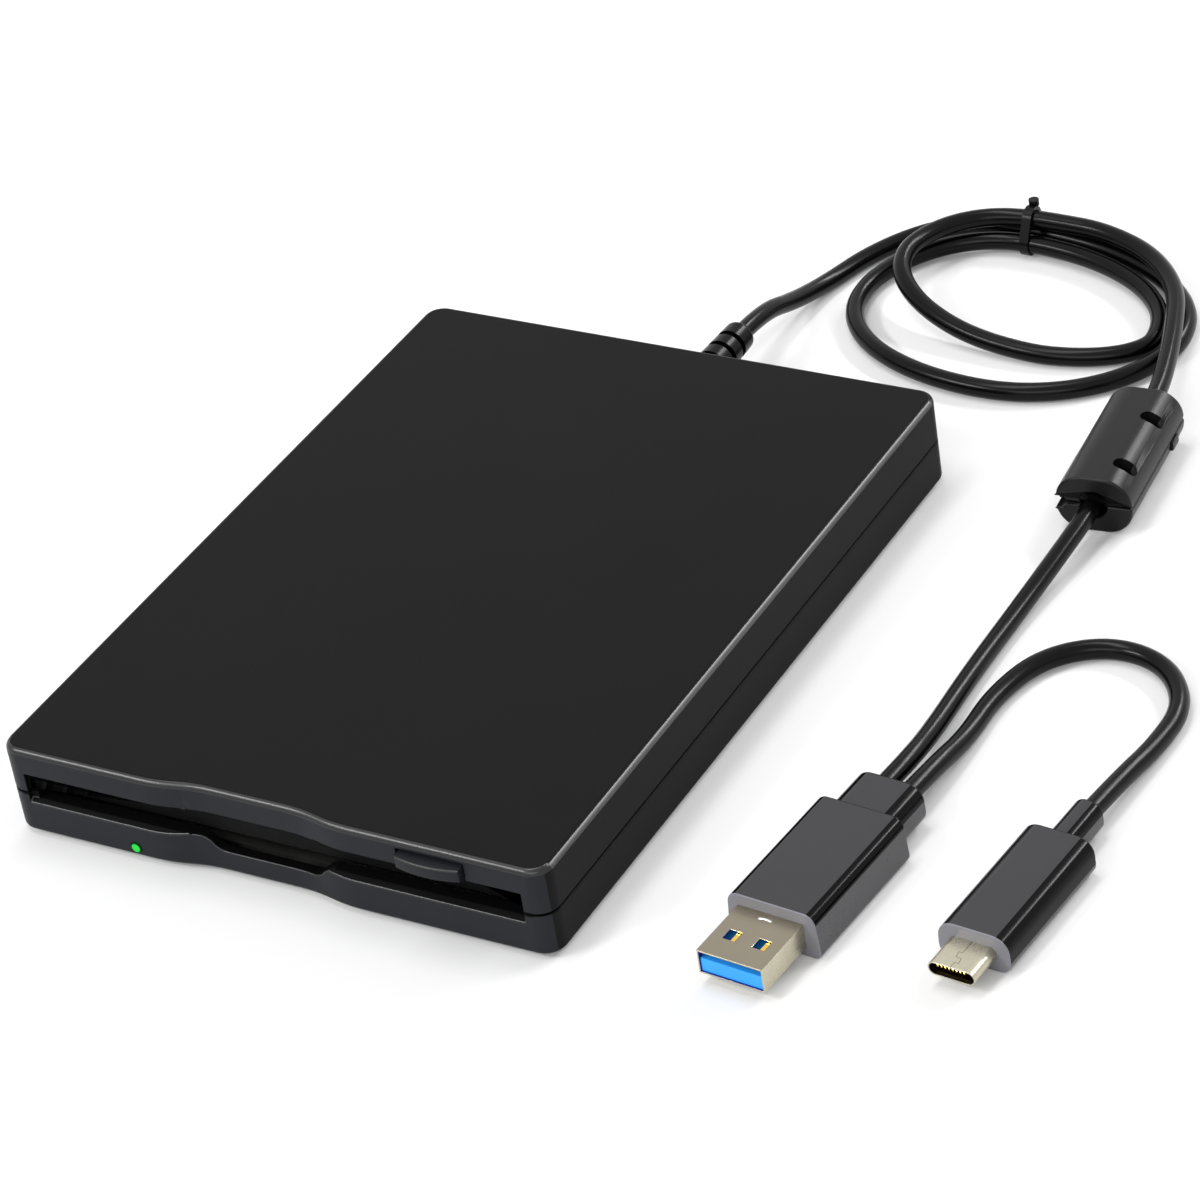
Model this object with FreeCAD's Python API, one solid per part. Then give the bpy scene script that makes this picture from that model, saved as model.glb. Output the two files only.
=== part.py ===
import FreeCAD, Part
import math
import os

# External floppy disk drive on its four rubber pads, with its cord, coil, bead and two plugs.
# Millimetres. Origin: middle of the case on the surface it stands on.
# +X is to the right seen from the front, +Y goes to the rear, +Z is up.

V = FreeCAD.Vector
X_AXIS = V(1, 0, 0)
Y_AXIS = V(0, 1, 0)
Z_AXIS = V(0, 0, 1)

# Case
CASE_WIDTH = 104.0
CASE_DEPTH = 142.0
CASE_TOP = 17.6
PAD_HEIGHT = 0.8
WALL = 1.6
FRONT_WALL = 3.2
CORNER_RADIUS = 3.6
TOP_EDGE_RADIUS = 1.2
BOTTOM_EDGE_RADIUS = 0.9
PARTING_HEIGHT = 8.85
GROOVE = 0.4
LIP = 0.7

# Rubber pads under the case
PAD_RADIUS = 4.0
PAD_RECESS = 0.5
PAD_INSET_X = 10.0
PAD_INSET_Y = 12.0

# Finger scoop in the front face, seen from above
SCOOP_DEPTH = 1.5
SCOOP_LEFT = -24.0
SCOOP_RIGHT = 16.0
SCOOP_SHOULDER = 13.0

# Disk slot in the front face
SLOT_LEFT_MARGIN = 1.2
SLOT_RIGHT_MARGIN = 0.8
SLOT_LOW = 6.9
SLOT_HIGH = 12.7
SLOT_RECESS = 1.0
THROAT_GAP = 0.7
THROAT_LOW = 7.5
THROAT_HIGH = 12.5
DIP_LEFT = -15.0
DIP_RIGHT = 11.6
DIP_RAMP = 5.0
DIP_LOW = 5.05

# Eject button and its notch in the upper cover
BUTTON_NOTCH_LEFT = 25.0
BUTTON_NOTCH_RIGHT = 37.4
BUTTON_GAP = 0.3
BUTTON_LOW = 13.1
BUTTON_HIGH = 15.4
BUTTON_PROUD_ENDS = 1.2
BUTTON_PROUD_MIDDLE = 1.95
BUTTON_BACK = 3.0
EJECT_TRAVEL = 3.5

# Activity light
LED_X = -27.5
LED_HEIGHT = 2.6
LED_RADIUS = 0.95
LED_CLEARANCE = 0.05
LED_PROUD = 0.15
LED_PIPE_LENGTH = 4.6
LED_BOARD_WIDTH = 7.0
LED_BOARD_HEIGHT = 4.6
LED_BOARD_THICKNESS = 0.8

# Sheet-metal chassis of the mechanism
CHASSIS_STANDOFF = 0.5
CHASSIS_SHEET = 0.8
CHASSIS_SIDE_GAP = 2.4
CHASSIS_FRONT_GAP = 2.4
CHASSIS_REAR_GAP = 11.4
SHIELD_HEIGHT = 15.0
SHIELD_SHEET = 0.5
TAB_LENGTH = 7.0

# Disk holder and the lift that carries it
THIN_SHEET = 0.5
HOLDER_SIDE_GAP = 0.3
HOLDER_SETBACK = 4.9
HOLDER_LENGTH = 90.5
HOLDER_RAIL_LOW = 7.8
HOLDER_ROOF_LOW = 12.6
HOLDER_RAIL_WIDTH = 4.5
HOLDER_DROP = 2.0
LIFT_PIN_RADIUS = 0.9
LIFT_PIN_HEIGHT = 11.0
LIFT_PIN_PLACES = (-44.0, 8.0)
SLOT_CLEARANCE = 0.15
HEAD_WINDOW_HALF_WIDTH = 11.0
HEAD_WINDOW_FRONT = 6.0

# Eject slide
SLIDE_LOW = 13.9
SLIDE_SIDE_GAP = 0.6
SLIDE_SETBACK = 0.5
SLIDE_LENGTH = 82.0
SLIDE_STRIP = 8.6
SLIDE_FRONT_BAR = 8.0
SLIDE_SKIRT_LOW = 7.4
TONGUE_WIDTH = 6.0

# Eject springs
SPRING_RADIUS = 0.75
SPRING_BORE = 0.4
SPRING_FRONT = -8.0
SPRING_LENGTH = 20.0
SPRING_INSET = 4.6

# Dust flap behind the slot
FLAP_THICKNESS = 0.8
FLAP_GAP = 0.45
FLAP_PIVOT_HEIGHT = 12.95
FLAP_LOW = 7.7
FLAP_PIN_RADIUS = 0.5
RUNNING_CLEARANCE = 0.05
FLAP_LUG = 1.4
FLAP_LUG_GAP = 0.3

# Shutter lever on the disk holder
LEVER_PIVOT = (-33.0, 12.0)
LEVER_ARM = 20.0
LEVER_REST_DEG = -50.0
LEVER_SWING_DEG = 55.0
LEVER_PIN_RADIUS = 1.0
LEVER_PIN_LOW = 10.6
LEVER_SHEET = 0.5
LEVER_HUB_RADIUS = 2.6
RIVET_RADIUS = 1.2

# Spindle
SPINDLE_Y = -10.0
SHAFT_RADIUS = 1.2
SHAFT_TOP = 7.7
BEARING_RADIUS = 3.0
BEARING_TOP = 5.6
ROTOR_RADIUS = 16.5
ROTOR_LOW = 5.75
ROTOR_SHEET = 0.7
MAGNET_BORE = 9.0
MAGNET_THICKNESS = 0.6
HUB_RADIUS = 10.5
HUB_THICKNESS = 0.5
DRIVE_PIN_RADIUS = 0.9
DRIVE_PIN_PLACE = 7.5
COIL_COUNT = 9
COIL_RADIUS = 3.2
COIL_PLACE = 12.0
COIL_THICKNESS = 0.6
MOTOR_BOARD_HALF_WIDTH = 26.0
MOTOR_BOARD_FRONT = -36.0
MOTOR_BOARD_REAR = 8.0
BOARD_THICKNESS = 0.6

# Head carriage, heads and their drive
HEAD_Y = 29.0
CARRIAGE_HALF_WIDTH = 9.0
CARRIAGE_FRONT = 24.5
CARRIAGE_REAR_GAP = 5.0
CARRIAGE_LOW = 3.95
CARRIAGE_HIGH = 6.25
ROD_X = 12.5
ROD_HEIGHT = 5.1
ROD_RADIUS = 1.0
ROD_FRONT = 7.0
ROD_REAR_GAP = 0.5
ROD_CLAMP_LENGTH = 2.0
LOWER_HEAD_TOP = 7.7
HEAD_WIDTH = 6.0
HEAD_LENGTH = 3.0
ARM_PIVOT_INSET = 3.0
ARM_PIVOT_HEIGHT = 13.5
ARM_PIN_RADIUS = 0.6
ARM_HALF_WIDTH = 4.0
ARM_THICKNESS = 0.7
UPPER_HEAD_LOW = 12.65
POST_LENGTH = 4.0
SCREW_X = -14.5
SCREW_HEIGHT = 8.4
SCREW_RADIUS = 1.2
SCREW_FRONT = 31.1
STEPPER_LENGTH = 9.0
STEPPER_REAR_GAP = 0.4
STEPPER_RADIUS = 4.3
FOLLOWER_GAP = 1.0
FOLLOWER_THICKNESS = 0.8

# Boards
LOGIC_BOARD = (30.0, 46.0, 12.0, 56.0)
MAIN_BOARD_HALF_WIDTH = 38.0
MAIN_BOARD_DEPTH = 8.4
MAIN_BOARD_REAR_GAP = 1.4
MAIN_BOARD_LOW = 4.0
CHIP_THICKNESS = 1.1
RIBBON_WIDTH = 6.0

# Switches that sense the disk
SWITCH_PLACES = {"write_switch_pin": (38.0, -57.0), "density_switch_pin": (-38.0, -57.0),
                 "disk_switch_pin": (31.0, -57.0)}
SWITCH_SIZE = 5.0
SWITCH_TOP = 6.0
PLUNGER_RADIUS = 0.9
PLUNGER_TOP = 7.4
PLUNGER_LOW = 5.4
PLUNGER_TRAVEL = 1.1

# Screws
CASE_SCREW_INSET_X = 9.5
CASE_SCREW_INSET_Y = 6.6
CASE_SCREW_RADIUS = 1.1
CASE_BOSS_RADIUS = 2.6
DRIVE_SCREW_INSET = 7.0
DRIVE_SCREW_PLACES = (-38.0, 44.0)
DRIVE_SCREW_RADIUS = 0.9
SCREW_HEAD_RADIUS = 1.8
SCREW_HEAD_HEIGHT = 0.7
SCREW_CLEARANCE = 0.05

# Strain relief on the rear wall
RELIEF_X = 1.5
RELIEF_HEIGHT = PARTING_HEIGHT
RELIEF_BASE_RADIUS = 3.5
RELIEF_TIP_RADIUS = 2.9
RELIEF_LENGTH = 19.0
RELIEF_GROOVE_DEPTH = 0.9
RELIEF_GROOVE_WIDTH = 1.2
RELIEF_RINGS = 4
RELIEF_NECK = 2.6
RELIEF_FLANGE = 4.4
RELIEF_FLANGE_LENGTH = 1.0
RELIEF_FIT = 0.05
RELIEF_COLLAR_WALL = 1.5
RELIEF_COLLAR_DEPTH = BUTTON_PROUD_MIDDLE

# Cord
CORD_DIAMETER = 3.5
FLOOR_LINE = CORD_DIAMETER / 2 + 0.05
TIED_LINE = FLOOR_LINE + 0.75
TOP_LINE = TIED_LINE + 3.9

# Tie round the three strands at the back of the coil
TIE_WIDTH = 1.8
TIE_THICKNESS = 0.6
TIE_GAP = 0.16
TIE_X = 34.35

# Bead on the cord
BEAD_CENTRE = (82.56, 77.19)
BEAD_YAW_DEG = 5.4
BEAD_LENGTH = 29.5
BEAD_WIDTH = 13.8
BEAD_HEIGHT = 10.8
BEAD_SECTION_RADIUS = 4.9
BEAD_BORE_RADIUS = 2.4
BEAD_SEAM = 0.25
CORE_LENGTH = 23.0
CORE_RADIUS = 3.95
CORE_GAP = 0.1
WINDOW_LENGTH = 4.6
WINDOW_WIDTH = 2.9
WINDOW_PLACES = (-8.7, 6.2)
WINDOW_TILT_DEG = 28.0
WINDOW_INSET = 3.35
HINGE_PIN_RADIUS = 0.5
HINGE_KNUCKLE_RADIUS = 1.0

# Plugs
PLUG_YAW_DEG = -5.0
PLUG_A_REAR = (85.6, -20.0)
PLUG_A_NECK = (12.8, 9.0, 7.0)
PLUG_A_BODY = (17.0, 27.0, 8.4)
PLUG_A_SHELL = (12.0, 12.0, 4.5)
PLUG_A_SHEET = 0.3
PLUG_A_CORD_SPACING = 4.7
PLUG_A_WINDOW = 2.3
PLUG_A_WINDOW_SPACING = 5.4
PLUG_A_WINDOW_PLACE = 5.3
PLUG_A_INSERT_THICKNESS = 2.0
PLUG_C_REAR = (116.9, -13.2)
PLUG_C_NECK = (5.2, 9.5, 5.2)
PLUG_C_BODY = (12.8, 27.0, 6.8)
PLUG_C_SHELL = (8.34, 6.65, 2.56)
PLUG_C_SHEET = 0.25
CONTACT_THICKNESS = 0.15
BODY_CORNER = 1.2


def unit(vector):
    result = V(vector)
    result.normalize()
    return result


def block(x0, x1, y0, y1, z0, z1):
    return Part.makeBox(x1 - x0, y1 - y0, z1 - z0, V(x0, y0, z0))


def rod(centre, axis, radius, length):
    return Part.makeCylinder(radius, length, V(*centre), axis)


def ring(centre, axis, outer, inner, length):
    return rod(centre, axis, outer, length).cut(rod(centre, axis, inner, length))


def rounded_outline(x0, x1, y0, y1, r):
    """Closed wire in the XY plane: a rectangle with quarter-round corners."""
    s = r * math.sqrt(0.5)
    edges = [
        Part.makeLine(V(x0 + r, y0, 0), V(x1 - r, y0, 0)),
        Part.Arc(V(x1 - r, y0, 0), V(x1 - r + s, y0 + r - s, 0), V(x1, y0 + r, 0)).toShape(),
        Part.makeLine(V(x1, y0 + r, 0), V(x1, y1 - r, 0)),
        Part.Arc(V(x1, y1 - r, 0), V(x1 - r + s, y1 - r + s, 0), V(x1 - r, y1, 0)).toShape(),
        Part.makeLine(V(x1 - r, y1, 0), V(x0 + r, y1, 0)),
        Part.Arc(V(x0 + r, y1, 0), V(x0 + r - s, y1 - r + s, 0), V(x0, y1 - r, 0)).toShape(),
        Part.makeLine(V(x0, y1 - r, 0), V(x0, y0 + r, 0)),
        Part.Arc(V(x0, y0 + r, 0), V(x0 + r - s, y0 + r - s, 0), V(x0 + r, y0, 0)).toShape()]
    return Part.Wire(edges)


def rounded_block(x0, x1, y0, y1, z0, z1, r):
    face = Part.Face(rounded_outline(x0, x1, y0, y1, r))
    face.translate(V(0, 0, z0))
    return face.extrude(V(0, 0, z1 - z0))


def prism(points, direction):
    """Straight-sided solid: a closed polygon moved along a direction."""
    loop = [V(*p) for p in points]
    return Part.Face(Part.makePolygon(loop + loop[:1])).extrude(direction)


def edges_at_height(shape, z):
    found = []
    for edge in shape.Edges:
        box = edge.BoundBox
        if abs(box.ZMin - z) < 1e-6 and abs(box.ZMax - z) < 1e-6:
            found.append(edge)
    return found


def fuse(shapes):
    return shapes[0].multiFuse(shapes[1:]).removeSplitter() if len(shapes) > 1 else shapes[0]


def cut(shape, tools):
    return shape.cut(Part.makeCompound(tools)) if tools else shape


# Heights and places that follow from the driving dimensions
FLOOR_TOP = PAD_HEIGHT + WALL
ROOF_LOW = CASE_TOP - WALL
HALF_WIDTH = CASE_WIDTH / 2
HALF_DEPTH = CASE_DEPTH / 2
FRONT = -HALF_DEPTH
FRONT_INSIDE = FRONT + FRONT_WALL
REAR_INSIDE = HALF_DEPTH - WALL
CHASSIS_LOW = FLOOR_TOP + CHASSIS_STANDOFF
CHASSIS_TOP = CHASSIS_LOW + CHASSIS_SHEET
HOLDER_ROOF_TOP = HOLDER_ROOF_LOW + THIN_SHEET
HOLDER_RAIL_TOP = HOLDER_RAIL_LOW + THIN_SHEET
SLIDE_TOP = SLIDE_LOW + THIN_SHEET + 0.1
BOARD_TOP = CHASSIS_TOP + BOARD_THICKNESS
FLAP_Y = FRONT_INSIDE + FLAP_GAP + FLAP_THICKNESS / 2
CHASSIS_HALF_WIDTH = HALF_WIDTH - WALL - CHASSIS_SIDE_GAP
CHASSIS_FRONT = FRONT_INSIDE + CHASSIS_FRONT_GAP
CHASSIS_REAR = REAR_INSIDE - CHASSIS_REAR_GAP
SLIDE_HALF_WIDTH = CHASSIS_HALF_WIDTH - CHASSIS_SHEET - SLIDE_SIDE_GAP
HOLDER_HALF_WIDTH = SLIDE_HALF_WIDTH - THIN_SHEET - HOLDER_SIDE_GAP
HOLDER_FRONT = CHASSIS_FRONT + HOLDER_SETBACK
HOLDER_REAR = HOLDER_FRONT + HOLDER_LENGTH
SLIDE_FRONT = HOLDER_FRONT + SLIDE_SETBACK
SLIDE_REAR = SLIDE_FRONT + SLIDE_LENGTH
THROAT_HALF_WIDTH = HOLDER_HALF_WIDTH + THROAT_GAP
SLOT_LEFT = -THROAT_HALF_WIDTH - SLOT_LEFT_MARGIN
SLOT_RIGHT = THROAT_HALF_WIDTH + SLOT_RIGHT_MARGIN
CARRIAGE_REAR = CHASSIS_REAR - CARRIAGE_REAR_GAP
ARM_PIVOT_Y = CARRIAGE_REAR - ARM_PIVOT_INSET
ROD_REAR = CHASSIS_REAR - ROD_REAR_GAP
STEPPER_REAR = CHASSIS_REAR - STEPPER_REAR_GAP
STEPPER_FRONT = STEPPER_REAR - STEPPER_LENGTH
FOLLOWER_PLACE = STEPPER_FRONT - FOLLOWER_GAP
MAIN_BOARD_REAR = REAR_INSIDE - MAIN_BOARD_REAR_GAP
MAIN_BOARD_FRONT = MAIN_BOARD_REAR - MAIN_BOARD_DEPTH
CASE_SCREW_X = HALF_WIDTH - CASE_SCREW_INSET_X
CASE_SCREW_Y = HALF_DEPTH - CASE_SCREW_INSET_Y
DRIVE_SCREW_X = CHASSIS_HALF_WIDTH - DRIVE_SCREW_INSET


def s_curve(start, end):
    """Two equal arcs that leave the start and reach the end along X."""
    middle = (start + end) * 0.5
    run = abs(end.x - start.x) / 2
    rise = abs(end.y - start.y) / 2
    radius = (run * run + rise * rise) / (2 * rise)
    sag = radius - math.sqrt(radius * radius - (run * run + rise * rise) / 4)
    across = unit(V(-(middle.y - start.y), middle.x - start.x, 0))
    if end.y > start.y:
        across = across * -1
    first = (start + middle) * 0.5 + across * sag
    second = (middle + end) * 0.5 - across * sag
    return [Part.Arc(start, first, middle).toShape(), Part.Arc(middle, second, end).toShape()]


def scoop_cutter():
    """The shallow finger scoop: a flat bottom between two smooth S-shaped shoulders."""
    face_y = FRONT
    deep_y = FRONT + SCOOP_DEPTH
    left = V(SCOOP_LEFT, face_y, 0)
    low_left = V(SCOOP_LEFT + SCOOP_SHOULDER, deep_y, 0)
    low_right = V(SCOOP_RIGHT - SCOOP_SHOULDER, deep_y, 0)
    right = V(SCOOP_RIGHT, face_y, 0)
    edges = s_curve(left, low_left)
    edges.append(Part.makeLine(low_left, low_right))
    edges += s_curve(low_right, right)
    outside = 2.0
    edges.append(Part.makeLine(right, right - V(0, outside, 0)))
    edges.append(Part.makeLine(right - V(0, outside, 0), left - V(0, outside, 0)))
    edges.append(Part.makeLine(left - V(0, outside, 0), left))
    return Part.Face(Part.Wire(edges)).extrude(V(0, 0, CASE_TOP + 1))


def slot_cutter():
    """Outer recess with a sloping lower lip, then the straight throat through the front wall."""
    y_out = FRONT - 1
    lip_y = FRONT + SLOT_RECESS
    throat_y = FRONT_INSIDE + 1
    recess = prism([(SLOT_LEFT, y_out, SLOT_LOW), (SLOT_LEFT, FRONT, SLOT_LOW), (SLOT_LEFT, lip_y, THROAT_LOW),
                    (SLOT_LEFT, lip_y, SLOT_HIGH), (SLOT_LEFT, y_out, SLOT_HIGH)],
                   V(SLOT_RIGHT - SLOT_LEFT, 0, 0))
    throat = block(-THROAT_HALF_WIDTH, THROAT_HALF_WIDTH, FRONT, throat_y, THROAT_LOW, THROAT_HIGH)
    return recess.fuse(throat).fuse(lip_dip(y_out, throat_y))


def lip_dip(y0, y1):
    """Where the slot's lower lip is let down for a thumb, with an S-shaped ramp at each end."""
    above = 0.5
    left = V(DIP_LEFT, THROAT_LOW, 0)
    low_left = V(DIP_LEFT + DIP_RAMP, DIP_LOW, 0)
    low_right = V(DIP_RIGHT - DIP_RAMP, DIP_LOW, 0)
    right = V(DIP_RIGHT, THROAT_LOW, 0)
    edges = s_curve(left, low_left)
    edges.append(Part.makeLine(low_left, low_right))
    edges += s_curve(low_right, right)
    edges.append(Part.makeLine(right, right + V(0, above, 0)))
    edges.append(Part.makeLine(right + V(0, above, 0), left + V(0, above, 0)))
    edges.append(Part.makeLine(left + V(0, above, 0), left))
    face = Part.Face(Part.Wire(edges))
    face.rotate(V(0, 0, 0), X_AXIS, 90)
    face.translate(V(0, y0, 0))
    return face.extrude(V(0, y1 - y0, 0))


def button_notch():
    return block(BUTTON_NOTCH_LEFT, BUTTON_NOTCH_RIGHT, FRONT - 3, FRONT_INSIDE + 1, SLOT_HIGH - 0.3, ROOF_LOW)


def relief_hole():
    radius = RELIEF_NECK + RELIEF_FIT
    return rod((RELIEF_X, REAR_INSIDE - 1, RELIEF_HEIGHT), Y_AXIS, radius, WALL + 2)


def relief_collar(low, high):
    """The part of the raised ring round the strain relief that lies between two heights."""
    radius = RELIEF_BASE_RADIUS + RELIEF_COLLAR_WALL
    bore = RELIEF_BASE_RADIUS + RELIEF_FIT
    whole = ring((RELIEF_X, HALF_DEPTH - WALL / 2, RELIEF_HEIGHT), Y_AXIS, radius, bore,
                 WALL / 2 + RELIEF_COLLAR_DEPTH)
    return whole.common(block(RELIEF_X - radius - 1, RELIEF_X + radius + 1, REAR_INSIDE,
                              HALF_DEPTH + RELIEF_COLLAR_DEPTH + 1, low, high))


def case_screw_places():
    return [(side * CASE_SCREW_X, CASE_SCREW_Y) for side in (-1, 1)]


def drive_screw_places():
    return [(side * DRIVE_SCREW_X, y) for side in (-1, 1) for y in DRIVE_SCREW_PLACES]


def pad_places():
    x = HALF_WIDTH - PAD_INSET_X
    y = HALF_DEPTH - PAD_INSET_Y
    return [(sx * x, sy * y) for sx in (-1, 1) for sy in (-1, 1)]


def hollow(z0, z1):
    return rounded_block(-HALF_WIDTH + WALL, HALF_WIDTH - WALL, FRONT_INSIDE, REAR_INSIDE, z0, z1,
                         CORNER_RADIUS - WALL)


def top_cover():
    low = PARTING_HEIGHT + GROOVE / 2
    shell = rounded_block(-HALF_WIDTH, HALF_WIDTH, -HALF_DEPTH, HALF_DEPTH, low, CASE_TOP, CORNER_RADIUS)
    shell = shell.cut(scoop_cutter())
    shell = shell.makeFillet(TOP_EDGE_RADIUS, edges_at_height(shell, CASE_TOP))
    shell = cut(shell, [hollow(low - 1, ROOF_LOW)])
    additions = [relief_collar(low, CASE_TOP)]
    for x, y in case_screw_places():
        boss = rod((x, y, low), Z_AXIS, CASE_BOSS_RADIUS, ROOF_LOW - low + 0.2)
        additions.append(boss)
    lug_x = THROAT_HALF_WIDTH + FLAP_LUG_GAP
    for side in (-1, 1):
        x0, x1 = sorted((side * lug_x, side * (lug_x + FLAP_LUG)))
        additions.append(block(x0, x1, FRONT_INSIDE - 0.2, FLAP_Y + 1.3, FLAP_PIVOT_HEIGHT - 1.3, ROOF_LOW + 0.2))
    shell = fuse([shell] + additions)
    tools = [slot_cutter(), button_notch(), relief_hole()]
    tools.append(rod((-lug_x - FLAP_LUG - 1, FLAP_Y, FLAP_PIVOT_HEIGHT), X_AXIS,
                     FLAP_PIN_RADIUS + RUNNING_CLEARANCE, 2 * (lug_x + FLAP_LUG + 1)))
    for x, y in case_screw_places():
        tools.append(rod((x, y, low - 1), Z_AXIS, CASE_SCREW_RADIUS + SCREW_CLEARANCE, 5.0))
    return cut(shell, tools)


def bottom_cover():
    high = PARTING_HEIGHT - GROOVE / 2
    shell = rounded_block(-HALF_WIDTH, HALF_WIDTH, -HALF_DEPTH, HALF_DEPTH, PAD_HEIGHT, high, CORNER_RADIUS)
    shell = shell.cut(scoop_cutter())
    shell = shell.makeFillet(BOTTOM_EDGE_RADIUS, edges_at_height(shell, PAD_HEIGHT))
    shell = cut(shell, [hollow(FLOOR_TOP, high + 1)])
    lip_outer = rounded_block(-HALF_WIDTH + WALL - LIP, HALF_WIDTH - WALL + LIP, FRONT_INSIDE - LIP,
                              REAR_INSIDE + LIP, high, high + GROOVE, CORNER_RADIUS - WALL + LIP)
    additions = [lip_outer.cut(hollow(high - 1, high + 1)), relief_collar(PAD_HEIGHT, high)]
    for x, y in case_screw_places():
        additions.append(rod((x, y, FLOOR_TOP - 0.2), Z_AXIS, CASE_BOSS_RADIUS, high + GROOVE - FLOOR_TOP + 0.2))
    for x, y in drive_screw_places():
        additions.append(rod((x, y, FLOOR_TOP - 0.2), Z_AXIS, CASE_BOSS_RADIUS, CHASSIS_STANDOFF + 0.2))
    for x in (-MAIN_BOARD_HALF_WIDTH + 3, MAIN_BOARD_HALF_WIDTH - 3):
        additions.append(block(x - 2, x + 2, MAIN_BOARD_FRONT + 1, MAIN_BOARD_REAR - 1, FLOOR_TOP - 0.2,
                               MAIN_BOARD_LOW))
    shell = fuse([shell] + additions)
    tools = [slot_cutter(), relief_hole()]
    for x, y in pad_places():
        tools.append(rod((x, y, PAD_HEIGHT - 1), Z_AXIS, PAD_RADIUS, 1 + PAD_RECESS))
    for x, y in case_screw_places():
        tools.append(rod((x, y, PAD_HEIGHT - 1), Z_AXIS, SCREW_HEAD_RADIUS + 0.2, 1 + WALL))
        tools.append(rod((x, y, PAD_HEIGHT), Z_AXIS, CASE_SCREW_RADIUS + SCREW_CLEARANCE, PARTING_HEIGHT + 1))
    for x, y in drive_screw_places():
        tools.append(rod((x, y, PAD_HEIGHT - 1), Z_AXIS, SCREW_HEAD_RADIUS + 0.2, 1 + 0.1 + SCREW_HEAD_HEIGHT))
        tools.append(rod((x, y, PAD_HEIGHT), Z_AXIS, DRIVE_SCREW_RADIUS + SCREW_CLEARANCE, 2 * WALL))
    tools.append(rod((LED_X, FRONT - 1, LED_HEIGHT), Y_AXIS, LED_RADIUS + LED_CLEARANCE, FRONT_WALL + 2))
    tools.append(block(LED_X - LED_RADIUS - 0.2, LED_X + LED_RADIUS + 0.2, FRONT_INSIDE, FRONT_INSIDE + 3.2,
                       LED_HEIGHT - LED_RADIUS - 0.1, FLOOR_TOP + 1))
    return cut(shell, tools)


def rubber_pads():
    return [rod((x, y, 0), Z_AXIS, PAD_RADIUS - 0.1, PAD_HEIGHT + PAD_RECESS) for x, y in pad_places()]


def case_screws():
    screws = []
    for x, y in case_screw_places():
        head = rod((x, y, PAD_HEIGHT + WALL - SCREW_HEAD_HEIGHT), Z_AXIS, SCREW_HEAD_RADIUS, SCREW_HEAD_HEIGHT)
        shank = rod((x, y, PAD_HEIGHT + WALL - 0.1), Z_AXIS, CASE_SCREW_RADIUS, PARTING_HEIGHT - FLOOR_TOP + 3.5)
        screws.append(head.fuse(shank))
    return screws


def mechanism_screws():
    screws = []
    head_top = PAD_HEIGHT + 0.1 + SCREW_HEAD_HEIGHT
    for x, y in drive_screw_places():
        head = rod((x, y, PAD_HEIGHT + 0.1), Z_AXIS, SCREW_HEAD_RADIUS, SCREW_HEAD_HEIGHT)
        shank = rod((x, y, head_top - 0.1), Z_AXIS, DRIVE_SCREW_RADIUS, CHASSIS_TOP + 0.4 - head_top)
        screws.append(head.fuse(shank))
    for x, y in tab_places():
        head = rod((x, y, SHIELD_HEIGHT + SHIELD_SHEET), Z_AXIS, SCREW_HEAD_RADIUS - 0.2, 0.4)
        shank = rod((x, y, SHIELD_HEIGHT - CHASSIS_SHEET), Z_AXIS, DRIVE_SCREW_RADIUS,
                    CHASSIS_SHEET + SHIELD_SHEET + 0.1)
        screws.append(head.fuse(shank))
    return screws


def tab_places():
    return [(side * (CHASSIS_HALF_WIDTH - TAB_LENGTH / 2), y) for side in (-1, 1) for y in (32.0, 54.0)]


def eject_button():
    """A bar with a bulging front, moulded over the tongue of the eject slide."""
    left = BUTTON_NOTCH_LEFT + BUTTON_GAP
    right = BUTTON_NOTCH_RIGHT - BUTTON_GAP
    middle = (left + right) / 2
    back = FRONT + BUTTON_BACK
    edges = [
        Part.makeLine(V(left, back, 0), V(left, FRONT - BUTTON_PROUD_ENDS, 0)),
        Part.Arc(V(left, FRONT - BUTTON_PROUD_ENDS, 0), V(middle, FRONT - BUTTON_PROUD_MIDDLE, 0),
                 V(right, FRONT - BUTTON_PROUD_ENDS, 0)).toShape(),
        Part.makeLine(V(right, FRONT - BUTTON_PROUD_ENDS, 0), V(right, back, 0)),
        Part.makeLine(V(right, back, 0), V(left, back, 0))]
    body = Part.Face(Part.Wire(edges)).extrude(V(0, 0, BUTTON_HIGH - BUTTON_LOW))
    body.translate(V(0, 0, BUTTON_LOW))
    pocket = tongue(back - 1.5, 0.0)
    return body.cut(pocket)


def tongue(front_y, grow):
    middle = (BUTTON_NOTCH_LEFT + BUTTON_NOTCH_RIGHT) / 2
    return block(middle - TONGUE_WIDTH / 2 - grow, middle + TONGUE_WIDTH / 2 + grow, front_y, SLIDE_FRONT + 1,
                 SLIDE_LOW - grow, SLIDE_TOP + grow)


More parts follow.
